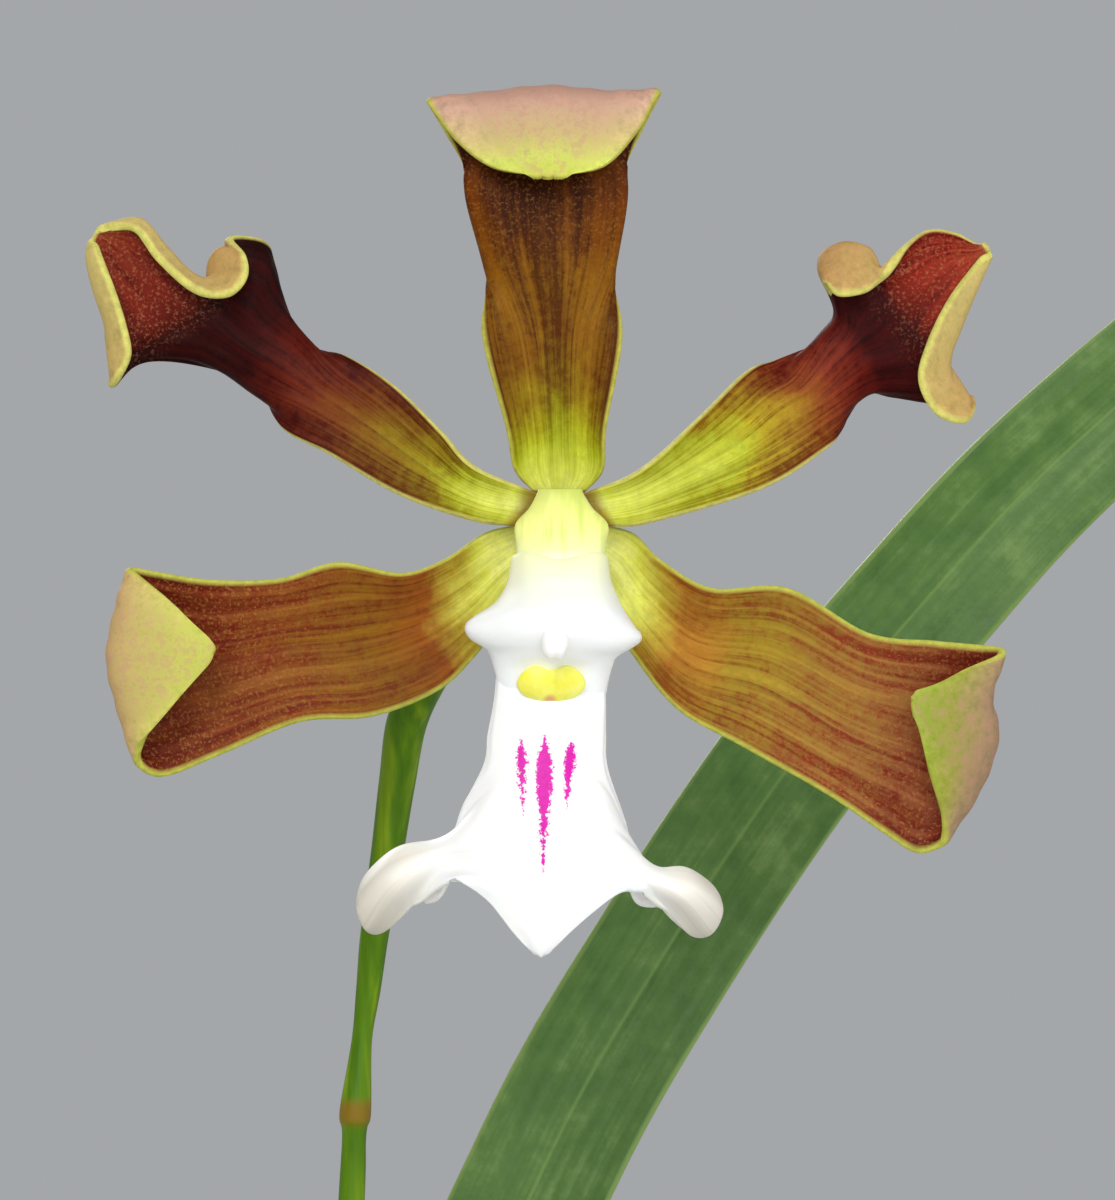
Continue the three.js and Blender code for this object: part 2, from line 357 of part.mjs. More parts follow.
// A closed body through rings of points, each counter-clockwise about the way from first to last
function loft(rings) {
  const sides = rings[0].length;
  const points = rings.flat();
  const triangles = [];
  for (let i = 0; i < rings.length - 1; i++) {
    for (let j = 0; j < sides; j++) {
      const next = (j + 1) % sides;
      const [a, b, c, d] = [i * sides + j, i * sides + next, (i + 1) * sides + next, (i + 1) * sides + j];
      triangles.push(a, b, c, a, c, d);
    }
  }
  const middle = (ring) => ring.reduce((sum, p) => sum.add(p), new THREE.Vector3()).divideScalar(sides);
  const first = points.push(middle(rings[0])) - 1;
  const last = points.push(middle(rings[rings.length - 1])) - 1;
  const top = (rings.length - 1) * sides;
  for (let j = 0; j < sides; j++) {
    const next = (j + 1) % sides;
    triangles.push(first, next, j, last, top + j, top + next);
  }
  return indexedGeometry(points, triangles);
}

// Directions along a path, with one side direction carried along it without twisting
function frames(points, side) {
  const last = points.length - 1;
  let across = side.clone();
  return points.map((p, i) => {
    const along = points[Math.min(i + 1, last)].clone().sub(points[Math.max(i - 1, 0)]).normalize();
    across = across.clone().addScaledVector(along, -across.dot(along)).normalize();
    return { along, across, up: along.clone().cross(across) };
  });
}

// A round stem along a path, with its own radius at each point
function stem(points, radii, sides) {
  const path = frames(points, new THREE.Vector3(1, 0.13, 0.07));
  return loft(points.map((p, i) => Array.from({ length: sides }, (_, j) => {
    const angle = (2 * Math.PI * j) / sides;
    return p.clone()
      .addScaledVector(path[i].across, radii[i] * Math.cos(angle))
      .addScaledVector(path[i].up, radii[i] * Math.sin(angle));
  })));
}

// Solids for cutting and joining
function solid(geometry) {
  const bare = geometry.clone();
  bare.deleteAttribute('normal');
  bare.deleteAttribute('uv');
  const merged = mergeVertices(bare, 1e-4);
  return new wasm.Manifold(new wasm.Mesh({
    numProp: 3,
    vertProperties: new Float32Array(merged.attributes.position.array),
    triVerts: new Uint32Array(merged.index.array),
  }));
}

function geometryOf(manifold) {
  const mesh = manifold.getMesh();
  const geometry = new THREE.BufferGeometry();
  geometry.setAttribute('position', new THREE.Float32BufferAttribute(mesh.vertProperties, 3));
  geometry.setIndex(Array.from(mesh.triVerts));
  return geometry;
}

// The largest body of a solid, so that a loose scrap left by a cut is dropped
function largest(manifold) {
  return manifold.decompose().sort((a, b) => b.volume() - a.volume())[0];
}

// Radius of the pot's inner wall at a height
const innerRadius = (z) => mix(POT_BASE_RADIUS, POT_RIM_RADIUS - RIM_BAND_STEP, z / POT_HEIGHT) - WALL;

function potSolid() {
  const bandFoot = POT_HEIGHT - RIM_BAND_HEIGHT;
  const bodyTop = POT_RIM_RADIUS - RIM_BAND_STEP;
  const profile = [
    [0, 0], [POT_BASE_RADIUS - 1.5, 0], [POT_BASE_RADIUS, 1.5],
    [mix(POT_BASE_RADIUS, bodyTop, bandFoot / POT_HEIGHT), bandFoot],
    [POT_RIM_RADIUS - 1, bandFoot], [POT_RIM_RADIUS - 0.4, bandFoot + 1],
    [POT_RIM_RADIUS, POT_HEIGHT - 1.5], [POT_RIM_RADIUS - 1.5, POT_HEIGHT],
    [innerRadius(POT_HEIGHT) + 1.2, POT_HEIGHT], [innerRadius(POT_HEIGHT), POT_HEIGHT - 1.2],
    [innerRadius(FLOOR), FLOOR], [0, FLOOR],
  ];
  let pot = solid(new THREE.LatheGeometry(profile.map(([r, z]) => new THREE.Vector2(r, z)), POT_SIDES)
    .rotateX(Math.PI / 2));
  for (let k = 0; k < DRAIN_HOLES; k++) {
    const angle = (2 * Math.PI * (k + 0.5)) / DRAIN_HOLES;
    const hole = new THREE.CylinderGeometry(DRAIN_RADIUS, DRAIN_RADIUS, FLOOR * 3, 20).rotateX(Math.PI / 2)
      .translate(DRAIN_CIRCLE * Math.cos(angle), DRAIN_CIRCLE * Math.sin(angle), 0);
    pot = pot.subtract(solid(hole));
  }
  return pot;
}

// A pseudobulb, grown by extra mm all round for the hole it stands in
function bulbGeometry({ foot, height, radius, lean }, extra, sides) {
  const outline = smooth(BULB_OUTLINE, 12);
  return loft(outline.map(([share, width]) => Array.from({ length: sides }, (_, j) => {
    const angle = (2 * Math.PI * j) / sides;
    const ridge = 1 + 0.035 * (j % 2 ? -1 : 1) * Math.sin(Math.PI * share);
    const r = width * radius * ridge + extra;
    return new THREE.Vector3(
      foot[0] + lean[0] * share ** 2 + r * Math.cos(angle),
      foot[1] + lean[1] * share ** 2 + r * Math.sin(angle),
      BULB_SEAT + share * height + (share > 0.5 ? extra : -extra),
    );
  })));
}

const bulbTip = ({ foot, height, lean }) =>
  new THREE.Vector3(foot[0] + lean[0], foot[1] + lean[1], BULB_SEAT + height);

// The rhizome creeps from the oldest pseudobulb to the youngest
function rhizomePath() {
  const order = [2, 1, 0, 3].map((k) => BULBS[k].foot);
  const points = [[order[0][0] - 8, order[0][1] - 6], ...order, [order[3][0] + 8, order[3][1] - 4]];
  return smooth(points, 21).map(([x, y], i) =>
    new THREE.Vector3(x, y, RHIZOME_HEIGHT + 0.4 * Math.sin(i * 1.3)));
}

// Roots leave the rhizome to either side, run over the bark and dive into it
function rootPaths() {
  const random = randomSource(11);
  const path = rhizomePath();
  return Array.from({ length: ROOT_COUNT }, (_, k) => {
    const start = path[2 + Math.floor((k * (path.length - 5)) / (ROOT_COUNT - 1))];
    const heading = Math.atan2(start.y, start.x) + mix(-0.9, 0.9, random()) + (k % 2 ? 0.5 : -0.5);
    const reach = Math.min(mix(16, 30, random()), innerRadius(SOIL_TOP) - 5 - Math.hypot(start.x, start.y));
    const bend = mix(-0.5, 0.5, random());
    const points = [0, 0.25, 0.5, 0.75, 1].map((t) => {
      const turn = heading + bend * t;
      const lift = 2.2 * Math.sin(Math.PI * Math.min(1, t * 1.2)) - 7 * Math.max(0, t - 0.6) / 0.4;
      const [x, y] = [start.x + reach * t * Math.cos(turn), start.y + reach * t * Math.sin(turn)];
      return [x, y, SOIL_TOP + 1.4 + lift];
    });
    return smooth(points, 8).map((p) => new THREE.Vector3(...p));
  });
}

function rhizomeSolid(extra) {
  const path = rhizomePath();
  const last = path.length - 1;
  const taper = (i) => Math.min(1, 0.55 + i / 4, 0.55 + (last - i) / 4);
  const radii = path.map((_, i) => RHIZOME_RADIUS * (1 + 0.1 * Math.cos(i * 2.1)) * taper(i) + extra);
  let rhizome = solid(stem(path, radii, 8));
  for (const root of rootPaths()) {
    const rootRadii = root.map((_, i) => ROOT_RADIUS * mix(1.15, 0.8, i / (root.length - 1)) + extra);
    rhizome = rhizome.add(solid(stem(root, rootRadii, 5)));
  }
  return rhizome;
}

// One bark chip: a box whose corners are pushed about
function chip(random) {
  const size = [CHIP_LENGTH, CHIP_WIDTH, CHIP_THICKNESS].map((range) => between(random, range));
  const geometry = mergeVertices(bareBox(size), 1e-4);
  const position = geometry.attributes.position;
  for (let i = 0; i < position.count; i++) {
    const p = new THREE.Vector3().fromBufferAttribute(position, i);
    position.setXYZ(i, ...p.toArray().map((v) => v * mix(0.62, 1.05, random())));
  }
  return geometry;
}

function bareBox(size) {
  const box = new THREE.BoxGeometry(...size);
  box.deleteAttribute('normal');
  box.deleteAttribute('uv');
  return box;
}

// The medium fills the pot; chips of bark lie on it as relief, and it has plain holes for the plant
function barkMedium(rhizome) {
  const random = randomSource(5);
  const floor = FLOOR + GAP;
  const profile = [
    [0, floor], [innerRadius(floor) - GAP, floor],
    [innerRadius(SOIL_TOP) - GAP, SOIL_TOP], [0, SOIL_TOP + 1],
  ];
  const lathe = new THREE.LatheGeometry(profile.map(([r, z]) => new THREE.Vector2(r, z)), POT_SIDES);
  let medium = solid(lathe.rotateX(Math.PI / 2));
  const room = innerRadius(SOIL_TOP) - CHIP_LENGTH[1] / 2 - 0.6;
  for (let k = 0; k < CHIP_COUNT; k++) {
    const angle = k * 2.39996;
    const reach = room * Math.sqrt((k + 0.5) / CHIP_COUNT);
    const turn = new THREE.Euler(mix(-0.35, 0.35, random()), mix(-0.35, 0.35, random()), random() * Math.PI);
    const place = new THREE.Vector3(
      reach * Math.cos(angle),
      reach * Math.sin(angle),
      SOIL_TOP + mix(-0.4, 1.4, random()),
    );
    const lie = new THREE.Matrix4().makeRotationFromEuler(turn).setPosition(place);
    medium = medium.add(solid(chip(random).applyMatrix4(lie)));
  }
  medium = medium.subtract(rhizome);
  for (const bulb of BULBS) medium = medium.subtract(solid(bulbGeometry(bulb, GAP + 0.05, 10)));
  return largest(medium);
}

// A strap leaf along a spine: folded like a keel at its foot, opening to a shallow channel, with a
// faint wave in its margins and a tip that narrows to a blunt point
function strapLeaf(spine, facing, half) {
  const path = frames(spine, facing);
  const last = spine.length - 1;
  const shares = [-1, -0.5, 0, 0.5, 1];
  const grid = spine.map((p, i) => {
    const t = i / last;
    const tip = Math.sqrt(Math.max(0.006, 1 - t ** 7));
    const width = half * (0.36 + 0.64 * Math.min(1, t / 0.22) ** 0.8) * tip;
    const fold = mix(LEAF_FOOT_FOLD, LEAF_CHANNEL, Math.min(1, t / 0.2));
    return shares.map((v) => {
      const wave = LEAF_WAVE * v * v * Math.sin(i * 1.3 + 2 * v);
      return p.clone()
        .addScaledVector(path[i].up, -v * width * Math.cos(fold))
        .addScaledVector(path[i].across, Math.abs(v) * width * Math.sin(fold) + wave);
    });
  });
  return blade(grid, LEAF_THICKNESS);
}

// Spine of a leaf that starts steep on its pseudobulb and arches over
function archedSpine({ bulb, heading, length, start, end }) {
  const turn = THREE.MathUtils.degToRad(heading);
  const out = new THREE.Vector3(Math.cos(turn), Math.sin(turn), 0);
  const point = bulbTip(BULBS[bulb]).addScaledVector(out, LEAF_FOOT_OFFSET);
  point.z += 2 * GAP;
  const spine = [point.clone()];
  for (let i = 1; i < LEAF_ROWS; i++) {
    const t = (i - 0.5) / (LEAF_ROWS - 1);
    const rise = THREE.MathUtils.degToRad(mix(start, end, t ** 1.3));
    point.addScaledVector(out, (Math.cos(rise) * length) / (LEAF_ROWS - 1));
    point.z += (Math.sin(rise) * length) / (LEAF_ROWS - 1);
    spine.push(point.clone());
  }
  return spine;
}

function tallSpine() {
  const base = bulbTip(BULBS[1]).z + 2 * GAP;
  return smooth(TALL_LEAF_PATH, LEAF_ROWS).map(([x, y, z]) => new THREE.Vector3(x, y, base + z));
}

const fromBloom = ([x, y, z]) => new THREE.Vector3(BLOOM[0] + x, BLOOM[1] + y, BLOOM[2] + z);

// Stalk, joint ring, the bloom's own stalk and its ovary, grown as one piece
function flowerStalk() {
  const foot = bulbTip(BULBS[0]);
  const ring = fromBloom(PEDICEL_PATH[0]);
  const lower = [
    [foot.x, foot.y, foot.z + GAP],
    [foot.x + 0.4, foot.y, foot.z + 30],
    [foot.x + 1.6, foot.y + 0.6, foot.z + 70],
    [foot.x + 3, foot.y + 1.2, foot.z + 105],
    [ring.x - 0.4, ring.y, ring.z - 9],
    [ring.x - 0.1, ring.y, ring.z - 2],
  ];
  const upper = PEDICEL_PATH.map((p) => fromBloom(p).toArray());
  const stations = [
    ...lower.map((p, i) => [...p, mix(STALK_FOOT_RADIUS, STALK_TOP_RADIUS, i / 5)]),
    [...upper[0], RING_RADIUS],
    ...upper.slice(1).map((p, i) => [...p, mix(PEDICEL_RADIUS, OVARY_RADIUS, Math.min(1, i / 5))]),
  ];
  stations[stations.length - 1][3] = RECEPTACLE_RADIUS;
  const points = smooth(stations, 47);
  return stem(points.map(([x, y, z]) => new THREE.Vector3(x, y, z)), points.map((p) => p[3]), 8);
}

function ellipsoid([x, y, z], [rx, ry, rz]) {
  const ball = new THREE.SphereGeometry(1, 10, 6).scale(rx, ry, rz);
  return ball.translate(x, y, z);
}

// The lip is one piece: its middle lobe, its two side lobes and the callus
function lip() {
  let body = solid(blade(smoothNet(LIP_MIDDLE, 33, 11), LIP_THICKNESS));
  const lobes = [
    smoothNet(LIP_LEFT_LOBE, 10, 4).map((row) => row.reverse()),
    smoothNet(LIP_RIGHT_LOBE, 10, 4),
  ];
  for (const lobe of lobes) body = body.add(solid(blade(lobe.reverse(), LIP_THICKNESS)));
  for (const lump of CALLUS) body = body.add(solid(ellipsoid(lump, CALLUS_RADII)));
  return body;
}

function column() {
  const rings = smooth(COLUMN, 13).map(([x, y, z, width, depth]) => Array.from({ length: 12 }, (_, j) => {
    const angle = (2 * Math.PI * j) / 12;
    return new THREE.Vector3(x + width * Math.cos(angle), y - depth * Math.sin(angle), z);
  }));
  const { centre, radius, from, to } = COLUMN_FOOT;
  const foot = new THREE.CylinderGeometry(radius, radius, to - from, 12)
    .translate(centre[0], (from + to) / 2, centre[1]);
  return solid(loft(rings)).add(solid(foot));
}

const group = new THREE.Group();

function add(name, geometry, color, roughness = 0.6) {
  const material = new THREE.MeshStandardMaterial({ color, roughness, metalness: 0 });
  const mesh = new THREE.Mesh(geometry, material);
  mesh.name = name;
  group.add(mesh);
  return mesh;
}

function addToBloom(name, geometry, color) {
  add(name, geometry, color).position.set(...BLOOM);
}

add('pot', geometryOf(potSolid()), 0xb5643c, 0.85);
add('bark_medium', geometryOf(barkMedium(rhizomeSolid(GAP + 0.05))), 0x5a3a24, 0.95);
add('rhizome_and_roots', geometryOf(rhizomeSolid(0)), 0x9a8f6a, 0.8);
BULBS.forEach((bulb, k) => {
  const body = solid(bulbGeometry(bulb, 0, 14)).subtract(rhizomeSolid(GAP));
  add(`pseudobulb_${k + 1}`, geometryOf(largest(body)), 0x6f8f3a, 0.5);
});
add('leaf_1', strapLeaf(tallSpine(), new THREE.Vector3(0, -1, 0), TALL_LEAF_HALF), 0x3e7a2a, 0.45);
ARCHED_LEAVES.forEach((leaf, k) => {
  add(`leaf_${k + 2}`, strapLeaf(archedSpine(leaf), leafFacing(leaf), leaf.half), 0x3e7a2a, 0.45);
});
add('flower_stalk', flowerStalk(), 0x5e8c0c, 0.5);
addToBloom('dorsal_sepal', blade(smoothNet(DORSAL_SEPAL, 25, 7), TEPAL_THICKNESS), 0x7c5a1c);
addToBloom('petal_left', blade(smoothNet(LEFT_PETAL, 37, 9), TEPAL_THICKNESS), 0x5e0c10);
addToBloom('petal_right', blade(smoothNet(RIGHT_PETAL, 35, 9), TEPAL_THICKNESS), 0x5e0c10);
addToBloom('lateral_sepal_left', blade(smoothNet(LEFT_SEPAL, 27, 7), TEPAL_THICKNESS), 0x8c4a20);
addToBloom('lateral_sepal_right', blade(smoothNet(RIGHT_SEPAL, 27, 7), TEPAL_THICKNESS), 0x8c4a20);
addToBloom('lip', geometryOf(lip()), 0xf6f4f0);
addToBloom('column', geometryOf(column()), 0xe8f59a);
addToBloom('anther_cap', ellipsoid(ANTHER.centre, ANTHER.radii), 0xfbfaf2);

// The upper face of an arching leaf looks back towards the middle of the plant and up
function leafFacing({ heading }) {
  const turn = THREE.MathUtils.degToRad(heading);
  return new THREE.Vector3(-Math.cos(turn), -Math.sin(turn), 0.2);
}

export default group;
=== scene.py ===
# %% [markdown]
# # A flowering Encyclia orchid in a clay pot
# One open bloom hangs from the top of a tall green stalk. Below it grow strap leaves, pseudobulbs, a
# rhizome with roots, bark chips and the pot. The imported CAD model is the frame: it says where each
# piece is and how large. This lesson dresses it with fine surfaces and materials.
# The bloom faces -Y, Z is up and the origin is the centre of the pot's underside.

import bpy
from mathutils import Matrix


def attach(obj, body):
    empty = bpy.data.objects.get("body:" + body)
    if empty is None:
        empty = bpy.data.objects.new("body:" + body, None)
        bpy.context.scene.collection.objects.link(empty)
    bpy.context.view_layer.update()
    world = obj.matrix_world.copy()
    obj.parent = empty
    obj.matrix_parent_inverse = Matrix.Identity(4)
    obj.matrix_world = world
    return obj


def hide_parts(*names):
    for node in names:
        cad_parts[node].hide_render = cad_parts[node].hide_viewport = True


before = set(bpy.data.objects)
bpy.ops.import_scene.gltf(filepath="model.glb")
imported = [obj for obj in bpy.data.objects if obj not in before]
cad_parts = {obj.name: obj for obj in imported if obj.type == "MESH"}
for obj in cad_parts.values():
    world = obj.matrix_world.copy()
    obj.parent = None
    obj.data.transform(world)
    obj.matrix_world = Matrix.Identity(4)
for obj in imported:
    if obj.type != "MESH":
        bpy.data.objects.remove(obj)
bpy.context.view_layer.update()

# %% Libraries
import math
import bpy
import numpy as np
from mathutils import Vector

MM = 0.001
print("Blender", bpy.app.version_string)

# %% [markdown]
# ## Camera
# The photograph looks straight at the bloom, so the camera is level. How far away the photographer
# stood isn't known: 400 mm is chosen, with a lens long enough that the bloom fills the frame. The frame
# is 1200 units high, 13.6 units to a millimetre at the bloom. The bloom's centre is where its column
# joins the sepals.

# %% Camera
# All in mm: the bloom's centre, how far away the camera is, half of the height that it takes in, and
# the point that it looks at, counted from the bloom's centre
BLOOM = np.array([25.0, -15.0, 345.0])
DISTANCE = 400.0
HALF_HEIGHT = 44.1
AIM = np.array([-0.2, 0.0, -7.0])

lens = bpy.data.cameras.new("bloom_camera")
lens.sensor_width = 36.0
lens.lens = 0.5 * lens.sensor_width * DISTANCE / HALF_HEIGHT
lens.clip_start = 0.01
lens.clip_end = 50.0
camera = bpy.data.objects.new("bloom_camera", lens)
camera.location = (BLOOM + AIM - [0, DISTANCE, 0]) * MM
camera.rotation_euler = (math.radians(90), 0, 0)
bpy.context.collection.objects.link(camera)
bpy.context.scene.camera = camera
print("lens", round(lens.lens, 1), "mm, from", [round(v, 3) for v in camera.location])

# %% [markdown]
# ## Light
# Soft studio light: a large panel in front and above as the main light, weaker ones lower in front and
# to the right that open the shadows, one behind to draw the outlines, and a pale surround.
# Large panels give the soft edges that a bloom needs, because hard light would hide its thin veins.

# %% Light
def panel(name, place, target, size, watts, colour):
    """A square light panel at place, turned to face target, both in metres."""
    data = bpy.data.lights.new(name, "AREA")
    data.shape = "SQUARE"
    data.size = size
    data.energy = watts
    data.color = colour
    light = bpy.data.objects.new(name, data)
    light.location = place
    light.rotation_euler = Vector(np.subtract(target, place)).to_track_quat("-Z", "Y").to_euler()
    bpy.context.collection.objects.link(light)
    return light


panel("front_panel", (-0.45, -1.5, 1.25), (0, 0, 0.28), 0.8, 16, (1.0, 0.985, 0.96))
panel("low_panel", (0.25, -1.6, 0.6), (0, 0, 0.33), 0.5, 6, (1.0, 1.0, 1.0))
panel("side_panel", (1.5, -0.7, 0.75), (0, 0, 0.25), 0.9, 7, (0.96, 0.98, 1.0))
panel("back_panel", (-0.7, 1.5, 1.1), (0, 0, 0.25), 0.8, 10, (1.0, 1.0, 1.0))

surround = bpy.data.worlds.new("pale_surround")
surround.use_nodes = True
surround.node_tree.nodes["Background"].inputs["Color"].default_value = (0.60, 0.62, 0.64, 1)
surround.node_tree.nodes["Background"].inputs["Strength"].default_value = 0.62
bpy.context.scene.world = surround
bpy.context.scene.view_settings.view_transform = "Standard"
print("four panels and a pale surround")

# %% [markdown]
# ## Colours and nodes
# Colours are written as sRGB hex values, as they are read off a photograph. Blender
# works with linear light, so one function turns them. Another adds a node to a material. Each of its
# inputs gets a plain value, a socket, or another node, whose result then feeds it. Inputs in a
# dictionary go to the sockets of those names or numbers. Inputs in a row fill the sockets in order,
# which for a Map Range is: value, from low, from high, to low, to high. A Mix of two colours takes
# its share in socket 0 and the colours in sockets 6 and 7.

# %% Colours and nodes
def linear(code):
    """sRGB hex to linear light: below 0.04045 a division by 12.92, above it a power of 2.4."""
    values = np.array([int(code[k:k + 2], 16) for k in (1, 3, 5)]) / 255
    light = np.where(values <= 0.04045, values / 12.92, ((values + 0.055) / 1.055) ** 2.4)
    return (*light.tolist(), 1.0)


def toned(stops, *shares):
    """The same colour stops with red, green and blue each times its share."""
    made = []
    for place, code in stops:
        channels = [min(255, round(int(code[k:k + 2], 16) * share)) for k, share in zip((1, 3, 5), shares)]
        made.append((place, "#{:02X}{:02X}{:02X}".format(*channels)))
    return made


def every(size):
    """The scale that repeats a pattern every so many millimetres, where coordinates are metres."""
    return 1 / (size * MM)


def result(value):
    """The socket that a node's result comes out of. Anything but a node stays as it is."""
    if isinstance(value, bpy.types.Node):
        return value.outputs[2 if value.bl_idname == "ShaderNodeMix" else 0]
    return value


def node(tree, kind, inputs=(), stops=(), **settings):
    """Adds a node with its settings and inputs. stops are a colour ramp's places and colours."""
    made = tree.nodes.new("ShaderNode" + kind)
    for name, value in settings.items():
        setattr(made, name, value)
    for name, value in inputs.items() if isinstance(inputs, dict) else enumerate(inputs):
        value = result(value)
        if isinstance(value, bpy.types.NodeSocket):
            tree.links.new(value, made.inputs[name])
        else:
            made.inputs[name].default_value = value
    for k, (place, code) in enumerate(stops):
        elements = made.color_ramp.elements
        stop = elements[k] if k < 2 else elements.new(place)
        stop.position = place
        stop.color = linear(code)
    return made


def finish(name, roughness, **sockets):
    """A material with one Principled shader, and the sockets that are the same all over it."""
    skin = bpy.data.materials.new(name)
    skin.use_nodes = True
    shader = skin.node_tree.nodes["Principled BSDF"]
    shader.inputs["Roughness"].default_value = roughness
    for socket, value in sockets.items():
        shader.inputs[socket.replace("_", " ")].default_value = value
    return skin, skin.node_tree, shader


def feed(shader, **sockets):
    """Links results to the shader: Base_Color is its Base Color socket."""
    for socket, value in sockets.items():
        shader.id_data.links.new(result(value), shader.inputs[socket.replace("_", " ")])


print("olive in linear light:", [round(v, 3) for v in linear("#8A7A20")])

# %% [markdown]
# ## Smooth lines and surfaces
# A grower's eye sees a petal as a few lines that run from its base to its tip. Each petal here is a
# net of such points. A Catmull-Rom curve passes through every point, first along the blade and then
# across it, so a short list of points gives a smooth surface at any fineness.

# %% Smooth lines and surfaces
def smooth(rows, places):
    """Catmull-Rom curve through rows, read at places from 0 to 1: each span is the cubic that meets
    both of its ends, with slopes of half the way between the neighbours on either side."""
    rows = np.asarray(rows, float)
    last = len(rows) - 1
    slope = np.gradient(rows, axis=0)
    where = np.asarray(places) * last
    i = np.minimum(where.astype(int), last - 1)
    s = (where - i).reshape((-1,) + (1,) * (rows.ndim - 1))
    return ((2 * s**3 - 3 * s**2 + 1) * rows[i] + (s**3 - 2 * s**2 + s) * slope[i]
            + (3 * s**2 - 2 * s**3) * rows[i + 1] + (s**3 - s**2) * slope[i + 1])


def smooth_net(rows, along, across):
    """The net smoothed along the blade, then across it: a grid of points."""
    lines = smooth(rows, along)
    return np.swapaxes(smooth(np.swapaxes(lines, 0, 1), across), 0, 1)


def unit(vectors):
    """Vectors of length 1 that point the same ways."""
    return vectors / np.maximum(np.linalg.norm(vectors, axis=-1, keepdims=True), 1e-12)


print("half-way on a curve through 0, 1 and 4:", smooth([[0.0], [1.0], [4.0]], [0.5])[0, 0])

# %% [markdown]
# ## Blades
# Petals, sepals, lip and leaves are thin blades with a rounded margin. The grid is moved half the
# thickness to either side along its own normals. Towards the margin the thickness falls as a quarter
# circle, so front and back meet in one shared line and the blade is closed. Each point keeps its
# place across and along the blade as its UV, and a value that is 1 on the front and 0 on the back,
# so that a material can paint veins along the blade and give both faces their own colours.

# %% Blades
def steps(count, edge):
    """Even steps from 0 to 1, with finer ones in the last share called edge at both ends."""
    fine = edge * (1 - np.cos(np.linspace(0, math.pi / 2, 6)))[:-1]
    return np.concatenate([fine, np.linspace(edge, 1 - edge, count), 1 - fine[::-1]])


def quarter_circle(places, edge):
    """0 at both ends, 1 once further in than edge, and a quarter circle between."""
    inward = np.minimum(np.minimum(places, 1 - places) / edge, 1)
    return np.sqrt(1 - (1 - inward) ** 2)


def squares(ids):
    """Four point numbers for each square of a grid of them."""
    return np.stack([ids[:-1, :-1], ids[:-1, 1:], ids[1:, 1:], ids[1:, :-1]], -1).reshape(-1, 4)


def blade(grid, along, across, thickness, edges=(0.02, 0.035), relief=0.0):
    """Front is grid + normal x half thickness, back is grid - normal x half thickness."""
    normal = unit(np.cross(np.gradient(grid, axis=1), np.gradient(grid, axis=0)))
    round_off = quarter_circle(along, edges[0])[:, None] * quarter_circle(across, edges[1])[None, :]
    half = (0.5 * thickness * round_off)[..., None] * normal
    raised = np.asarray(relief * round_off)[..., None] * normal
    rows, columns = grid.shape[:2]
    front = np.arange(rows * columns).reshape(rows, columns)
    back = front.copy()
    back[1:-1, 1:-1] = rows * columns + np.arange((rows - 2) * (columns - 2)).reshape(rows - 2, -1)
    uv = np.stack(np.broadcast_arrays(across[None, :], along[:, None]), -1)
    side = np.full((rows, columns), 1.0)
    side[[0, -1], :] = 0.5
    side[:, [0, -1]] = 0.5
    return {
        "points": np.concatenate([(grid + half + raised).reshape(-1, 3),
                                  (grid - half + raised)[1:-1, 1:-1].reshape(-1, 3)]),
        "faces": [squares(front), squares(back)[:, ::-1]],
        "uv": np.concatenate([uv.reshape(-1, 2), uv[1:-1, 1:-1].reshape(-1, 2)]),
        "side": np.concatenate([side.ravel(), np.zeros((rows - 2) * (columns - 2))]),
    }


print("steps across a blade:", steps(5, 0.1).round(3).tolist())

# %% [markdown]
# ## Stems and turned shapes
# A stalk, a root or a pseudobulb is a row of rings along a path. Each ring's radius and outline can
# change. The ends are closed with a fan of triangles round a middle point.

# %% Stems and turned shapes
def directions(points, side):
    """Along, across and up at each point of a path; across is carried on with no twist."""
    along = unit(np.gradient(points, axis=0))
    across = np.empty_like(points)
    carried = np.asarray(side, float)
    for k, way in enumerate(along):
        carried = unit(carried - way * np.dot(carried, way))
        across[k] = carried
    return along, across, np.cross(along, across)


def loft(rings):
    """Closed body through rings of points, each counter-clockwise about the way along the path."""
    count, sides = rings.shape[:2]
    ids = np.arange(count * sides).reshape(count, sides)
    ahead = np.roll(ids, -1, axis=1)
    quads = np.stack([ids[:-1], ahead[:-1], ahead[1:], ids[1:]], -1).reshape(-1, 4)
    first, last = count * sides, count * sides + 1
    fan = np.concatenate([
        np.stack([np.full(sides, first), ahead[0], ids[0]], -1),
        np.stack([np.full(sides, last), ids[-1], ahead[-1]], -1)])
    middle = rings[[0, -1]].mean(axis=1)
    turn, rise = np.meshgrid(np.arange(sides) / sides, np.linspace(0, 1, count))
    uv = np.stack([turn, rise], -1).reshape(-1, 2)
    return {
        "points": np.concatenate([rings.reshape(-1, 3), middle]),
        "faces": [quads, fan],
        "uv": np.concatenate([uv, [[0.5, 0], [0.5, 1]]]),
    }


def stem(points, radii, sides=24, side=(1, 0.13, 0.07)):
    """A ring of sides points at each station: point + radius x (cos x across + sin x up)."""
    _, across, up = directions(points, side)
    angle = np.arange(sides) * 2 * math.pi / sides
    radii = np.broadcast_to(np.asarray(radii, float).reshape(len(points), -1), (len(points), sides))
    return loft(points[:, None] + radii[..., None] * (np.cos(angle)[None, :, None] * across[:, None]
                                                      + np.sin(angle)[None, :, None] * up[:, None]))


def joined(shapes):
    """Several shapes as one: the point numbers of each are moved on by those before it."""
    start = np.cumsum([0] + [len(s["points"]) for s in shapes])
    whole = {key: np.concatenate([s[key] for s in shapes]) for key in shapes[0] if key != "faces"}
    whole["faces"] = [f + start[k] for k, s in enumerate(shapes) for f in s["faces"]]
    return whole


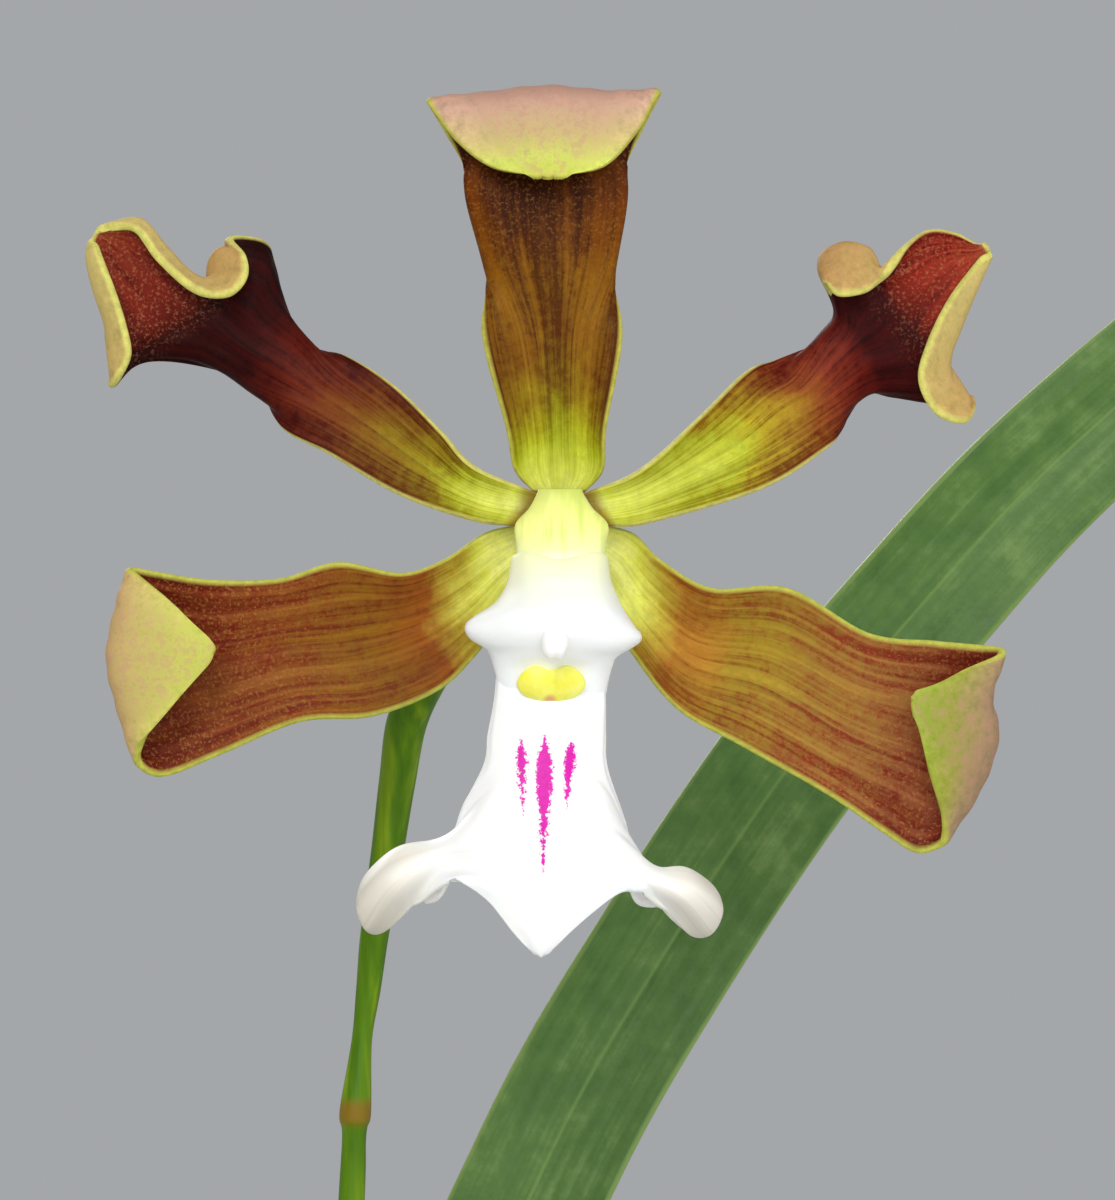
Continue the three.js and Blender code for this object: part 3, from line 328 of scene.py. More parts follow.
straight = np.array([[0, 0, 0], [0, 0, 1], [0, 0, 2]], float)
print("a stem of three rings has", len(stem(straight, [1, 1, 1])["points"]), "points")

# %% [markdown]
# ## From a shape to a piece
# A shape holds its points in millimetres. The piece that it becomes is in metres, rides on the
# frame's one body, stands for its CAD nodes and takes the finish that it is given.

# %% From a shape to a piece
def mesh_of(name, shape):
    """A mesh in metres from a shape in millimetres."""
    mesh = bpy.data.meshes.new(name)
    faces = [face for block in shape["faces"] for face in block.tolist()]
    mesh.from_pydata((shape["points"] * MM).tolist(), [], faces)
    return mesh


def piece(name, shape, skin, slot, *nodes):
    """One piece of the plant. nodes are the CAD nodes that it stands for."""
    mesh = mesh_of(name, shape)
    corner = np.empty(len(mesh.loops), int)
    mesh.loops.foreach_get("vertex_index", corner)
    mesh.uv_layers.new(name="blade").data.foreach_set("uv", shape["uv"][corner].ravel())
    for key in shape.keys() - {"points", "faces", "uv"}:
        mesh.attributes.new(key, "FLOAT", "POINT").data.foreach_set("value", shape[key])
    mesh.shade_smooth()
    mesh.materials.append(skin)
    made = bpy.data.objects.new(name, mesh)
    bpy.context.collection.objects.link(made)
    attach(made, "root")
    if nodes:
        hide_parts(*nodes)
    triangles = sum(len(f) * (f.shape[1] - 2) for f in shape["faces"])
    size = np.ptp(shape["points"], axis=0)
    print(f"{name}: {triangles} triangles, {size[0]:.1f} x {size[1]:.1f} x {size[2]:.1f} mm")
    return made


print("the frame has", len(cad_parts), "CAD nodes")

# %% [markdown]
# ## Tepal skins
# Orchid sepals and petals are alike in make, so growers call them tepals. Their skin is waxy, with
# a grain of tiny bulging cells. Colour lies in it in two ways: it changes from the green claw to the
# dark tip, and brown pigment follows the veins as fine broken lines. The blade's UV carries both:
# one colour ramp along the blade for the light ground and one for the dark pigment, and a mask
# chooses between them. The mask is a noise drawn out along the blade, plus a fine even noise that
# crumbles its edges, plus a cosine across the blade that puts more pigment on the midrib or on the
# margins. The margin is a thin pale line, and the back has colours of its own.
# Tissue full of water under a thin wax has an IOR of about 1.42. Its bulging cells scatter light, so
# the roughness is 0.5 and the shine weak, and a little light passes under the skin.

# %% Pattern of a tepal's face
def pigmented_face(tree, uv, noises, ground, pigment, lines, band, wedge, grain):
    """The coloured face. lines is how many broken lines lie side by side, band (waves across half
    the blade, amount) the cosine, wedge how much earlier the margins darken, and grain (colour,
    share, start) the pale specks."""
    blotch, crumb, cells = noises
    off_middle = node(tree, "Math", (uv["x"], 0.5), operation="SUBTRACT")
    spread = node(tree, "Math", [off_middle], operation="ABSOLUTE")
    drift = node(tree, "Math", (blotch, 0.1, -0.05), operation="MULTIPLY_ADD")
    outward = node(tree, "Math", (spread, 2 * wedge, drift), operation="MULTIPLY_ADD")
    along = node(tree, "Math", (uv["y"], outward), operation="ADD")
    light = node(tree, "ValToRGB", [along], ground)
    dark = node(tree, "ValToRGB", [along], pigment)

    drawn = node(tree, "VectorMath", (uv["both"], (lines, 3.5, 1.0)), operation="MULTIPLY")
    fibre = node(tree, "TexNoise", {"Vector": drawn, "Scale": 1.0, "Detail": 4.0, "Roughness": 0.6,
                                    "Distortion": 0.35})
    phase = node(tree, "Math", (spread, 4 * math.pi * band[0]), operation="MULTIPLY")
    wave = node(tree, "Math", [phase], operation="COSINE")
    crumbled = node(tree, "Math", (crumb, 0.35), operation="MULTIPLY")
    lined = node(tree, "Math", (fibre, 0.5, crumbled), operation="MULTIPLY_ADD")
    lined = node(tree, "Math", (blotch, 0.15, lined), operation="MULTIPLY_ADD")
    lined = node(tree, "Math", (wave, band[1], lined), operation="MULTIPLY_ADD")
    dose = node(tree, "MapRange", (lined, 0.42, 0.58))
    face = node(tree, "Mix", {0: dose, 6: light, 7: dark}, data_type="RGBA")

    colour, share, start = grain
    bright = node(tree, "MapRange", (cells, 0.53, 0.66, 0.0, share))
    begun = node(tree, "MapRange", (along, start, start + 0.2))
    speck = node(tree, "Math", (bright, begun), operation="MULTIPLY")
    face = node(tree, "Mix", {0: speck, 6: face, 7: linear(colour)}, data_type="RGBA")
    return face, spread, lined


# %% Tepal skins
# Size in mm, detail and roughness of the blotches, the crumbs and the cells
TEPAL_NOISES = [(3.03, 4.0, 0.65), (0.6667, 4.0, 0.7), (0.2381, 2.0, 0.7)]


def tepal_skin(name, ground, pigment, back, rim, lines, band, wedge, grain, fade):
    """ground, pigment and back are colour stops from the blade's base to its tip, rim the margin's
    colour, and fade the colour that the fold of the back has at its middle. The noises are blotches
    of 3 mm, crumbs of 0.7 mm and skin cells of 0.24 mm, which are drawn coarser than real ones."""
    skin, tree, shader = finish(name, 0.5, IOR=1.42, Subsurface_Weight=0.05, Subsurface_Scale=0.0005,
                                Specular_IOR_Level=0.1)
    place = node(tree, "TexCoord")
    split = node(tree, "SeparateXYZ", [place.outputs["UV"]])
    uv = {"both": place.outputs["UV"], "x": split.outputs["X"], "y": split.outputs["Y"]}
    noises = [node(tree, "TexNoise", {"Vector": place.outputs["Object"], "Scale": every(size),
                                      "Detail": detail, "Roughness": roughness})
              for size, detail, roughness in TEPAL_NOISES]
    _, crumb, cells = noises
    front, spread, lined = pigmented_face(tree, uv, noises, ground, pigment, lines, band, wedge, grain)

    turned_over = node(tree, "ValToRGB", [uv["y"]], back)
    powdery = node(tree, "MapRange", (crumb, 0.44, 0.6, 0.0, 0.5))
    near_middle = node(tree, "MapRange", (spread, 0.46, 0.2))
    powder = node(tree, "Math", (powdery, near_middle), operation="MULTIPLY")
    reverse = node(tree, "Mix", {0: powder, 6: turned_over, 7: linear(fade)}, data_type="RGBA")
    side = node(tree, "Attribute", attribute_name="side")
    facing = node(tree, "MapRange", (side.outputs["Fac"], 0.46, 0.54))
    colour = node(tree, "Mix", {0: facing, 6: reverse, 7: front}, data_type="RGBA")

    edge = node(tree, "MapRange", (spread, 0.466, 0.492))
    tip = node(tree, "MapRange", (uv["y"], 0.984, 0.997))
    margin = node(tree, "Math", (edge, tip), operation="MAXIMUM")
    colour = node(tree, "Mix", {0: margin, 6: colour, 7: linear(rim)}, data_type="RGBA")
    joint = node(tree, "MapRange", (uv["y"], 0.02, 0.006, 0.0, 0.8))
    colour = node(tree, "Mix", {0: joint, 6: colour, 7: linear("#80561E")}, data_type="RGBA")
    dapple = node(tree, "MapRange", (crumb, 0.35, 0.65, 0.8, 1.12))
    dappled = node(tree, "VectorMath", {0: colour, "Scale": dapple}, operation="SCALE")
    fine = node(tree, "Math", (cells, 0.6, lined), operation="MULTIPLY_ADD")
    bump = node(tree, "Bump", {"Height": fine, "Strength": 0.5, "Distance": 0.00012})
    feed(shader, Base_Color=dappled, Normal=bump)
    return skin


# %% Skin of the upper sepal
dorsal_skin = tepal_skin(
    "waxy_sepal_upper",
    [(0.0, "#E0E478"), (0.09, "#D4D856"), (0.155, "#BCC432"), (0.2, "#A8A416"), (0.23, "#967C10"),
     (0.27, "#885A0A"), (0.33, "#8C5C0A"), (0.39, "#7C4406"), (0.45, "#6E3404"), (0.58, "#5C2404")],
    [(0.0, "#C4C850"), (0.09, "#B8BC38"), (0.155, "#8E9406"), (0.2, "#746C00"), (0.23, "#603E00"),
     (0.27, "#4E2400"), (0.33, "#502800"), (0.39, "#421A00"), (0.45, "#361000"), (0.58, "#340E00")],
    [(0.0, "#8C9440"), (0.5, "#8E7A3C"), (0.62, "#AE8270"), (0.74, "#CCA48C"), (0.83, "#CFBC78"),
     (0.9, "#D4DC66"), (0.97, "#D2D85C")],
    "#BEB850", 28, (1.0, 0.06), 0.045, ("#B08438", 0.25, 0.24), "#A4706A")
print("upper sepal:", dorsal_skin.name)

# %% Skins of the petals
# A petal's broad end is some 12 mm wide, so 26 broken lines lie about 0.5 mm apart, as its veins do
PETAL_GROUND = [
    (0.0, "#F2F694"), (0.05, "#DCE062"), (0.1, "#BAC032"), (0.13, "#A49824"), (0.17, "#906C1E"),
    (0.21, "#844A1C"), (0.26, "#78301C"), (0.32, "#5E180E"), (0.38, "#3C0403"), (0.62, "#380302"),
    (0.76, "#7C2014"), (0.9, "#943424"), (1.0, "#9C4A34")]
PETAL_PIGMENT = [
    (0.0, "#E0E472"), (0.05, "#BCC23A"), (0.1, "#848008"), (0.13, "#6C5004"), (0.17, "#582C02"),
    (0.21, "#501A02"), (0.26, "#440C04"), (0.32, "#320202"), (0.38, "#1E0000"), (0.64, "#1E0000"),
    (0.78, "#4A0604"), (0.9, "#5E0E0A"), (1.0, "#6C1C12")]
PETAL_BACK = [(0.0, "#A8AC50"), (0.3, "#A0783C"), (0.5, "#B89058"), (0.7, "#C4A864"), (1.0, "#CCBC70")]


def later(stops, delay):
    """The stops between claw and dark zone, moved towards the tip."""
    return [(place + delay * (0.05 < place < 0.6), code) for place, code in stops]


petal_skins = []
# The left petal's colours are toned darker and the right petal's lighter: painted shade on the left petal
# and painted light on the right one
for which, delay, tone in (("left", 0.0, (0.94, 0.9, 0.7)), ("right", 0.045, (1.13, 1.1, 1.0))):
    face = [later(stops[:3] + toned(stops[3:], *tone), delay) for stops in (PETAL_GROUND, PETAL_PIGMENT)]
    petal_skins.append(tepal_skin(f"waxy_petal_{which}", *face, PETAL_BACK, "#D0CA6C", 26, (0.5, -0.05),
                                  0.05, ("#B87850", 0.4, 0.5), "#A06C58"))
print("petals:", *[skin.name for skin in petal_skins])

# %% Skins of the lower sepals
# Near the fold where each tip turns over, from 0.52 on, both ramps darken: the sepal's own brown, deepened
# by painted shade near the fold
LATERAL_GROUND = [
    (0.0, "#F8FAA8"), (0.08, "#F2F492"), (0.14, "#DEE064"), (0.19, "#BCAA3C"), (0.24, "#A0701E"),
    (0.32, "#94841E"), (0.44, "#98762A"), (0.52, "#8E5A28"), (0.66, "#743014")]
LATERAL_PIGMENT = [
    (0.0, "#F0F290"), (0.08, "#DCDE6A"), (0.14, "#B8B83A"), (0.19, "#927618"), (0.24, "#6E400A"),
    (0.32, "#6A3A0E"), (0.44, "#743014"), (0.52, "#66220E"), (0.7, "#50160A")]
LEFT_BACK = [(0.0, "#8E9640"), (0.5, "#A48848"), (0.64, "#C09468"), (0.74, "#CCB070"), (0.82, "#CCC468"),
             (0.9, "#CED060"), (1.0, "#CCD060")]
RIGHT_BACK = [(0.0, "#8E9640"), (0.5, "#8C7A48"), (0.64, "#A0806C"), (0.76, "#A88E64"), (0.84, "#9CA040"),
              (0.92, "#9AAA3A"), (1.0, "#A8B44C")]
lateral_skins = []
# The left sepal's face colours are toned darker and the right sepal's lighter: painted shade on the left
# sepal and painted light on the right one
for which, back, waves, tone in (("left", LEFT_BACK, (0.5, -0.03), (0.97, 0.76, 0.75)),
                                 ("right", RIGHT_BACK, (0.5, -0.055), (1.12, 1.06, 1.35))):
    face = [stops[:4] + toned(stops[4:], *tone) for stops in (LATERAL_GROUND, LATERAL_PIGMENT)]
    lateral_skins.append(tepal_skin(f"waxy_sepal_lower_{which}", *face, back, "#BCBC50", 20, waves, 0.035,
                                    ("#BC8A44", 0.35, 0.28), "#A8746A"))
print("lower sepals:", *[skin.name for skin in lateral_skins])

# %% [markdown]
# ## Sepals and petals
# Each net has five lines that run along the blade: a margin, a line half-way, the midrib, a line
# half-way and the other margin. The rows cross them, from base to tip. Points are millimetres from
# the bloom's centre. The upper sepal folds forward and down over its own face, the petals roll
# their margins towards the viewer at their spoon-shaped ends, and the lower sepals turn their tips
# over. Cutting the folded outline flat would lose that, so the nets go round the folds.

# %% Nets of sepals and petals
DORSAL_SEPAL = [
    [[-1.9, 1.6, 0.9], [-1.1, 1.6, 0.9], [-0.1, 1.6, 0.9], [0.9, 1.6, 0.9], [1.8, 1.6, 0.9]],
    [[-3.4, 1.2, 2.6], [-1.9, 1.5, 2.6], [-0.1, 1.6, 2.6], [1.7, 1.5, 2.6], [3.2, 1.2, 2.6]],
    [[-4, 0.8, 5.7], [-2.2, 1.3, 5.7], [-0.2, 1.5, 5.7], [1.7, 1.3, 5.7], [3.4, 0.8, 5.7]],
    [[-5.8, 0.7, 12.9], [-3.3, 1.2, 12.9], [-0.5, 1.3, 12.9], [2.2, 1.2, 12.9], [4.6, 0.7, 12.9]],
    [[-4.9, 3.6, 18.1], [-5.3, 1.9, 18.7], [-0.8, 1, 18.4], [3.8, 1.9, 18.7], [3.3, 3.6, 18.1]],
    [[-6.2, 3, 23.4], [-6.4, 1.9, 23.7], [-1, 1.5, 23.6], [4.4, 1.9, 23.7], [4.1, 3, 23.4]],
    [[-8.4, 1.8, 27.3], [-5.2, 2.1, 27.4], [-1.1, 2.2, 27.5], [2.9, 2.1, 27.4], [6, 1.8, 27.5]],
    [[-9.8, 0.9, 29.6], [-5.8, 1.4, 30], [-1.1, 1.5, 30.5], [3.5, 1.4, 30.1], [7.4, 0.9, 30.2]],
    [[-9.4, 0.1, 29], [-5.4, -0.6, 29.3], [-1, -0.9, 29.7], [3.2, -0.6, 29.5], [7, 0.1, 29.7]],
    [[-7.5, -0.7, 26.5], [-4.1, -1.4, 26.9], [-1, -1.7, 27.3], [2.4, -1.4, 27], [5.6, -0.7, 27.2]],
    [[-4.9, -1.5, 24.6], [-2.9, -1.9, 25], [-1, -2.1, 25.3], [1.2, -1.9, 25], [3.2, -1.5, 24.7]],
    [[-1.5, -2.3, 24], [-1.2, -2.4, 23.8], [-0.9, -2.4, 23.7], [-0.6, -2.4, 23.8], [-0.3, -2.3, 24]],
]
LEFT_PETAL = [
    [[-3.3, 0, -1.6], [-2.7, 0.1, -1], [-2.1, 0.2, -0.2], [-1.8, 0.1, 0.4], [-1.6, 0, 0.8]],
    [[-6.6, 0, -1.1], [-6.4, 0.4, -0.2], [-6.3, 0.6, 0.7], [-6.3, 0.4, 1.8], [-6.3, 0, 2.8]],
    [[-11.8, 0.4, 0.7], [-11.1, 0.8, 2], [-10.3, 1, 3.2], [-9.5, 0.8, 4.3], [-8.8, 0.4, 5.5]],
    [[-17, 1, 3.7], [-15.8, 1.1, 4.9], [-14.6, 1.2, 6.3], [-13.4, 1.1, 7.6], [-12.2, 1, 8.8]],
    [[-20.4, 2.4, 5.6], [-19.2, 1.6, 6.9], [-17.9, 1.5, 8.5], [-16.7, 1.6, 10], [-15.9, 2.2, 11]],
    [[-21.7, 4.4, 8.5], [-22.6, 2.8, 8.7], [-20.5, 1.8, 10.4], [-19.1, 2.8, 12.3], [-19.9, 4.6, 11.7]],
    [[-24.4, 4.4, 10.1], [-24.8, 2.6, 10.3], [-22.8, 1.9, 11.8], [-21.5, 2.2, 15.2], [-21.3, 3.4, 17.9]],
    [[-27.3, 3.8, 10.7], [-27, 2.6, 11.4], [-24.1, 1.9, 12.8], [-22.3, 1.7, 16.6], [-22, 2.8, 19.6]],
    [[-30.2, 3, 10.9], [-29.1, 2.4, 11.6], [-25.2, 1.9, 13.7], [-24.4, 1.7, 17.5], [-24.3, 1.2, 19.8]],
    [[-32.1, 2.4, 10.2], [-30.4, 2.3, 11.6], [-25.8, 1.9, 14.1], [-25.5, 1.2, 18.3], [-23.1, -0.5, 18.3]],
    [[-33.2, 1.4, 8.7], [-31.7, 2.1, 11.2], [-26.4, 1.9, 14.6], [-25.6, 1, 16.8], [-23, -1.2, 16.6]],
    [[-32.4, -0.4, 9.4], [-32.7, 1.4, 11.2], [-27.4, 1.9, 15.3], [-26.6, 1, 16.5], [-24.3, -1.4, 15.3]],
    [[-31.6, -0.9, 10.9], [-33.1, 1.2, 12.5], [-28.7, 1.8, 16.3], [-27.8, 1, 17.3], [-26.7, -1.3, 15.6]],
    [[-31.9, -0.9, 12.8], [-33.3, 1, 13.8], [-30.2, 1.6, 17.5], [-29.4, 0.9, 19.1], [-29.4, -1, 17.9]],
    [[-32.6, -0.8, 15.2], [-34.1, 0.8, 16], [-31.9, 1.3, 18.7], [-30.9, 0.7, 20.7], [-31.1, -0.4, 20.1]],
    [[-33.6, -0.4, 17.8], [-34.6, 0.6, 18.2], [-33.3, 0.9, 19.6], [-32.5, 0.6, 20.6], [-32.9, 0.2, 20.4]],
    [[-34.2, 0.2, 19.3], [-34.4, 0.4, 19.5], [-34.4, 0.5, 19.8], [-34.2, 0.5, 20.1], [-33.8, 0.3, 20.2]],
]
RIGHT_PETAL = [
    [[1.7, 0, 0.8], [2, 0.1, 0.4], [2.3, 0.2, -0.2], [2.9, 0.1, -1], [3.4, 0, -1.6]],
    [[5.9, 0, 2.6], [6, 0.4, 1.7], [6.2, 0.6, 0.7], [6.5, 0.4, -0.3], [6.6, 0, -1.3]],
    [[10.3, 0.4, 6.6], [11.3, 0.8, 5.3], [12.5, 1, 3.9], [13.6, 0.8, 2.5], [14.7, 0.4, 1.1]],
    [[13.6, 1, 9.8], [14.9, 1.1, 8.3], [16.4, 1.2, 6.9], [18, 1.1, 5], [19.3, 1, 3.9]],
    [[15.8, 2.4, 10.6], [17, 1.6, 9.5], [18.6, 1.5, 8.3], [20.1, 1.8, 6.6], [20.6, 2.6, 5.4]],
    [[20.1, 4.6, 12], [19.4, 2.8, 12.4], [20.9, 1.8, 10.6], [22.6, 2.8, 8.5], [22.1, 4.6, 8.9]],
    [[21.2, 4.2, 14], [20.6, 2.6, 14.3], [22.1, 1.9, 11.7], [24.4, 2.6, 8.8], [24.7, 4.2, 8.3]],
    [[19.6, 0.6, 16.3], [19.5, 2, 17.8], [23.1, 1.9, 12.4], [26.2, 2.4, 8.7], [27.8, 3.2, 7.7]],
    [[20.4, -0.6, 15.3], [20.9, 1.2, 19], [23.9, 1.9, 13.1], [28.6, 1.8, 8.7], [30.5, 1.4, 7.6]],
    [[22.5, -0.4, 15.6], [22.6, 1.3, 18.7], [24.7, 1.9, 13.8], [29.5, 1.1, 8.6], [29.8, -0.6, 6]],
    [[23.9, 0.6, 16.9], [23.6, 1.4, 17.1], [25.5, 1.9, 14.6], [28.6, 1, 9.8], [27.6, -1.2, 6.6]],
    [[25.3, 1.2, 19], [25.2, 1.6, 17.7], [26.6, 1.8, 15.5], [28.6, 0.9, 11.3], [26.3, -1.2, 9]],
    [[27.1, 1.4, 20.3], [26.9, 1.7, 18.6], [27.9, 1.7, 16.6], [29.4, 0.8, 13.4], [26.9, -1, 11.7]],
    [[29.1, 1.2, 20.1], [28.9, 1.5, 19], [29.3, 1.5, 17.7], [30.4, 0.7, 15.8], [28.4, -0.6, 14.8]],
    [[30.6, 0.9, 19.3], [30.5, 1, 18.9], [30.6, 1.1, 18.4], [31.2, 0.6, 17.6], [30.1, 0, 17.1]],
    [[31.2, 0.5, 19.3], [31.4, 0.5, 19.1], [31.6, 0.5, 18.9], [31.6, 0.5, 18.6], [31.4, 0.3, 18.3]],
]
LEFT_SEPAL = [
    [[-1.9, 2.2, -3.7], [-1.8, 2.2, -3.2], [-1.7, 2.2, -2.6], [-1.9, 2.2, -1.9], [-2.4, 2.2, -1.3]],
    [[-3.9, 2, -7.9], [-4, 2.2, -6.1], [-4.2, 2.3, -4.5], [-4.8, 2.2, -3.2], [-5.5, 2, -2]],
    [[-6.5, 1.6, -11.4], [-6.8, 2.1, -9.4], [-7.4, 2.3, -7.3], [-8.1, 2.1, -5.4], [-8.6, 1.8, -4]],
    [[-9.2, 1.4, -13.8], [-9.8, 2, -11.6], [-10.6, 2.2, -9.1], [-11.4, 1.9, -6.9], [-11.8, 1.4, -5]],
    [[-13.9, 1.2, -15.6], [-14.4, 2, -13.2], [-15.2, 2.3, -10.3], [-15.8, 1.8, -7.3], [-16.4, 1, -4.2]],
    [[-19.2, 1.2, -16], [-19.8, 2, -13.7], [-20.4, 2.4, -10.8], [-20.6, 2, -8], [-20.7, 1.4, -5.4]],
    [[-25, 1.4, -18.4], [-25.3, 2.2, -15.4], [-25.6, 2.6, -12], [-25.7, 2.2, -8.6], [-25.7, 1.4, -5.5]],
    [[-29.1, 1.2, -20], [-30.2, 2.1, -16.8], [-30.6, 2.4, -12], [-30.2, 2.1, -8], [-29.8, 1.2, -4.9]],
    [[-30.9, 0.6, -19.4], [-32.2, 1, -15.3], [-33, 1, -11.4], [-32.4, 1, -7.6], [-31.5, 0.6, -4.6]],
    [[-30.9, -0.2, -18.2], [-31.7, -0.5, -14.9], [-32.3, -0.6, -11.3],
     [-31.7, -0.5, -7.9], [-31, -0.2, -5.1]],
    [[-30.4, -0.9, -17.1], [-29.5, -1.5, -14.5], [-28.9, -1.7, -11],
     [-28.9, -1.5, -8.6], [-28.8, -0.9, -6.9]],
    [[-28.1, -1.5, -14.3], [-27.3, -1.9, -12.7], [-26.9, -2.1, -10.8],
     [-26.9, -1.9, -9.6], [-26.8, -1.5, -8.9]],
    [[-25.5, -2.1, -11.2], [-25.3, -2.2, -10.9], [-25.2, -2.2, -10.7],
     [-25.2, -2.2, -10.4], [-25.4, -2.1, -10.1]],
]
RIGHT_SEPAL = [
    [[2.2, 2.2, -1.3], [1.8, 2.2, -1.9], [1.6, 2.2, -2.6], [1.7, 2.2, -3.2], [1.8, 2.2, -3.7]],
    [[5.3, 2, -2], [4.7, 2.2, -3.2], [4.1, 2.3, -4.5], [3.7, 2.2, -6.1], [3.5, 2, -7.9]],
    [[7.4, 1.8, -4], [6.9, 2.1, -5.7], [6.3, 2.3, -7.6], [5.8, 2.1, -9.5], [5.4, 1.6, -11.1]],
    [[11.2, 1.4, -6.1], [10.5, 1.9, -8.5], [9.9, 2.2, -10.8], [9.2, 2, -13.2], [8.7, 1.4, -15.1]],
    [[16.8, 1, -6.1], [16.2, 1.8, -9.1], [15.4, 2.3, -12], [14.5, 2, -15.1], [13.4, 1.2, -17.8]],
    [[22.7, 1.4, -9.4], [22.2, 2, -12.2], [21.4, 2.4, -15.3], [20.5, 2, -18.5], [19.6, 1.2, -21.3]],
    [[27.6, 1.2, -10], [27, 2.1, -13.3], [26, 2.5, -16.8], [24.9, 2.1, -20.6], [23.7, 1.2, -24.1]],
    [[30.8, 1, -10.3], [30.1, 2, -13.7], [29.2, 2.3, -17.6], [27.8, 2, -21.9], [26.1, 1, -25.6]],
    [[32.5, 0.5, -10.5], [31.5, 0.9, -13.9], [31.9, 1, -17.1], [30.6, 0.9, -21], [27.7, 0.5, -25.3]],
    [[32.2, -0.2, -11], [31, -0.5, -14.3], [31.1, -0.6, -16.9], [29.9, -0.5, -20.4], [28.1, -0.2, -24.5]],
    [[29.8, -0.9, -12], [28.8, -1.5, -14], [28.6, -1.7, -15.8], [28.6, -1.5, -19.3], [27.9, -0.9, -22.6]],
    [[27.8, -1.6, -13], [27.2, -1.9, -14], [27, -2.1, -15], [27.2, -1.9, -17], [26.9, -1.6, -19.3]],
    [[25.9, -2.1, -13.7], [25.8, -2.2, -13.9], [25.6, -2.2, -14.1],
     [25.7, -2.2, -14.4], [25.9, -2.1, -14.7]],
]

# %% Making the tepals
# Thickness of sepals, petals and lip and height of the veins, in mm, and how many veins stand out
FLESH, VEIN_HEIGHT, VEINS = 0.7, 0.05, 7


def tepal(name, net, skin, slot, rows=110):
    """The smoothed net, with veins raised on both faces by a sine across the blade."""
    along, across = steps(rows, 0.02), steps(44, 0.035)
    grid = smooth_net(net, along, across)
    veins = VEIN_HEIGHT * np.sin(across * 2 * math.pi * VEINS)[None, :] * np.sin(along * math.pi)[:, None]
    shape = blade(grid, along, across, FLESH, relief=veins)
    shape["points"] = shape["points"] + BLOOM
    return piece(name, shape, skin, slot, name)


tepal("dorsal_sepal", DORSAL_SEPAL, dorsal_skin, "sepal")
tepal("petal_left", LEFT_PETAL, petal_skins[0], "petal", rows=170)
tepal("petal_right", RIGHT_PETAL, petal_skins[1], "petal", rows=160)
tepal("lateral_sepal_left", LEFT_SEPAL, lateral_skins[0], "sepal")
tepal("lateral_sepal_right", RIGHT_SEPAL, lateral_skins[1], "sepal")
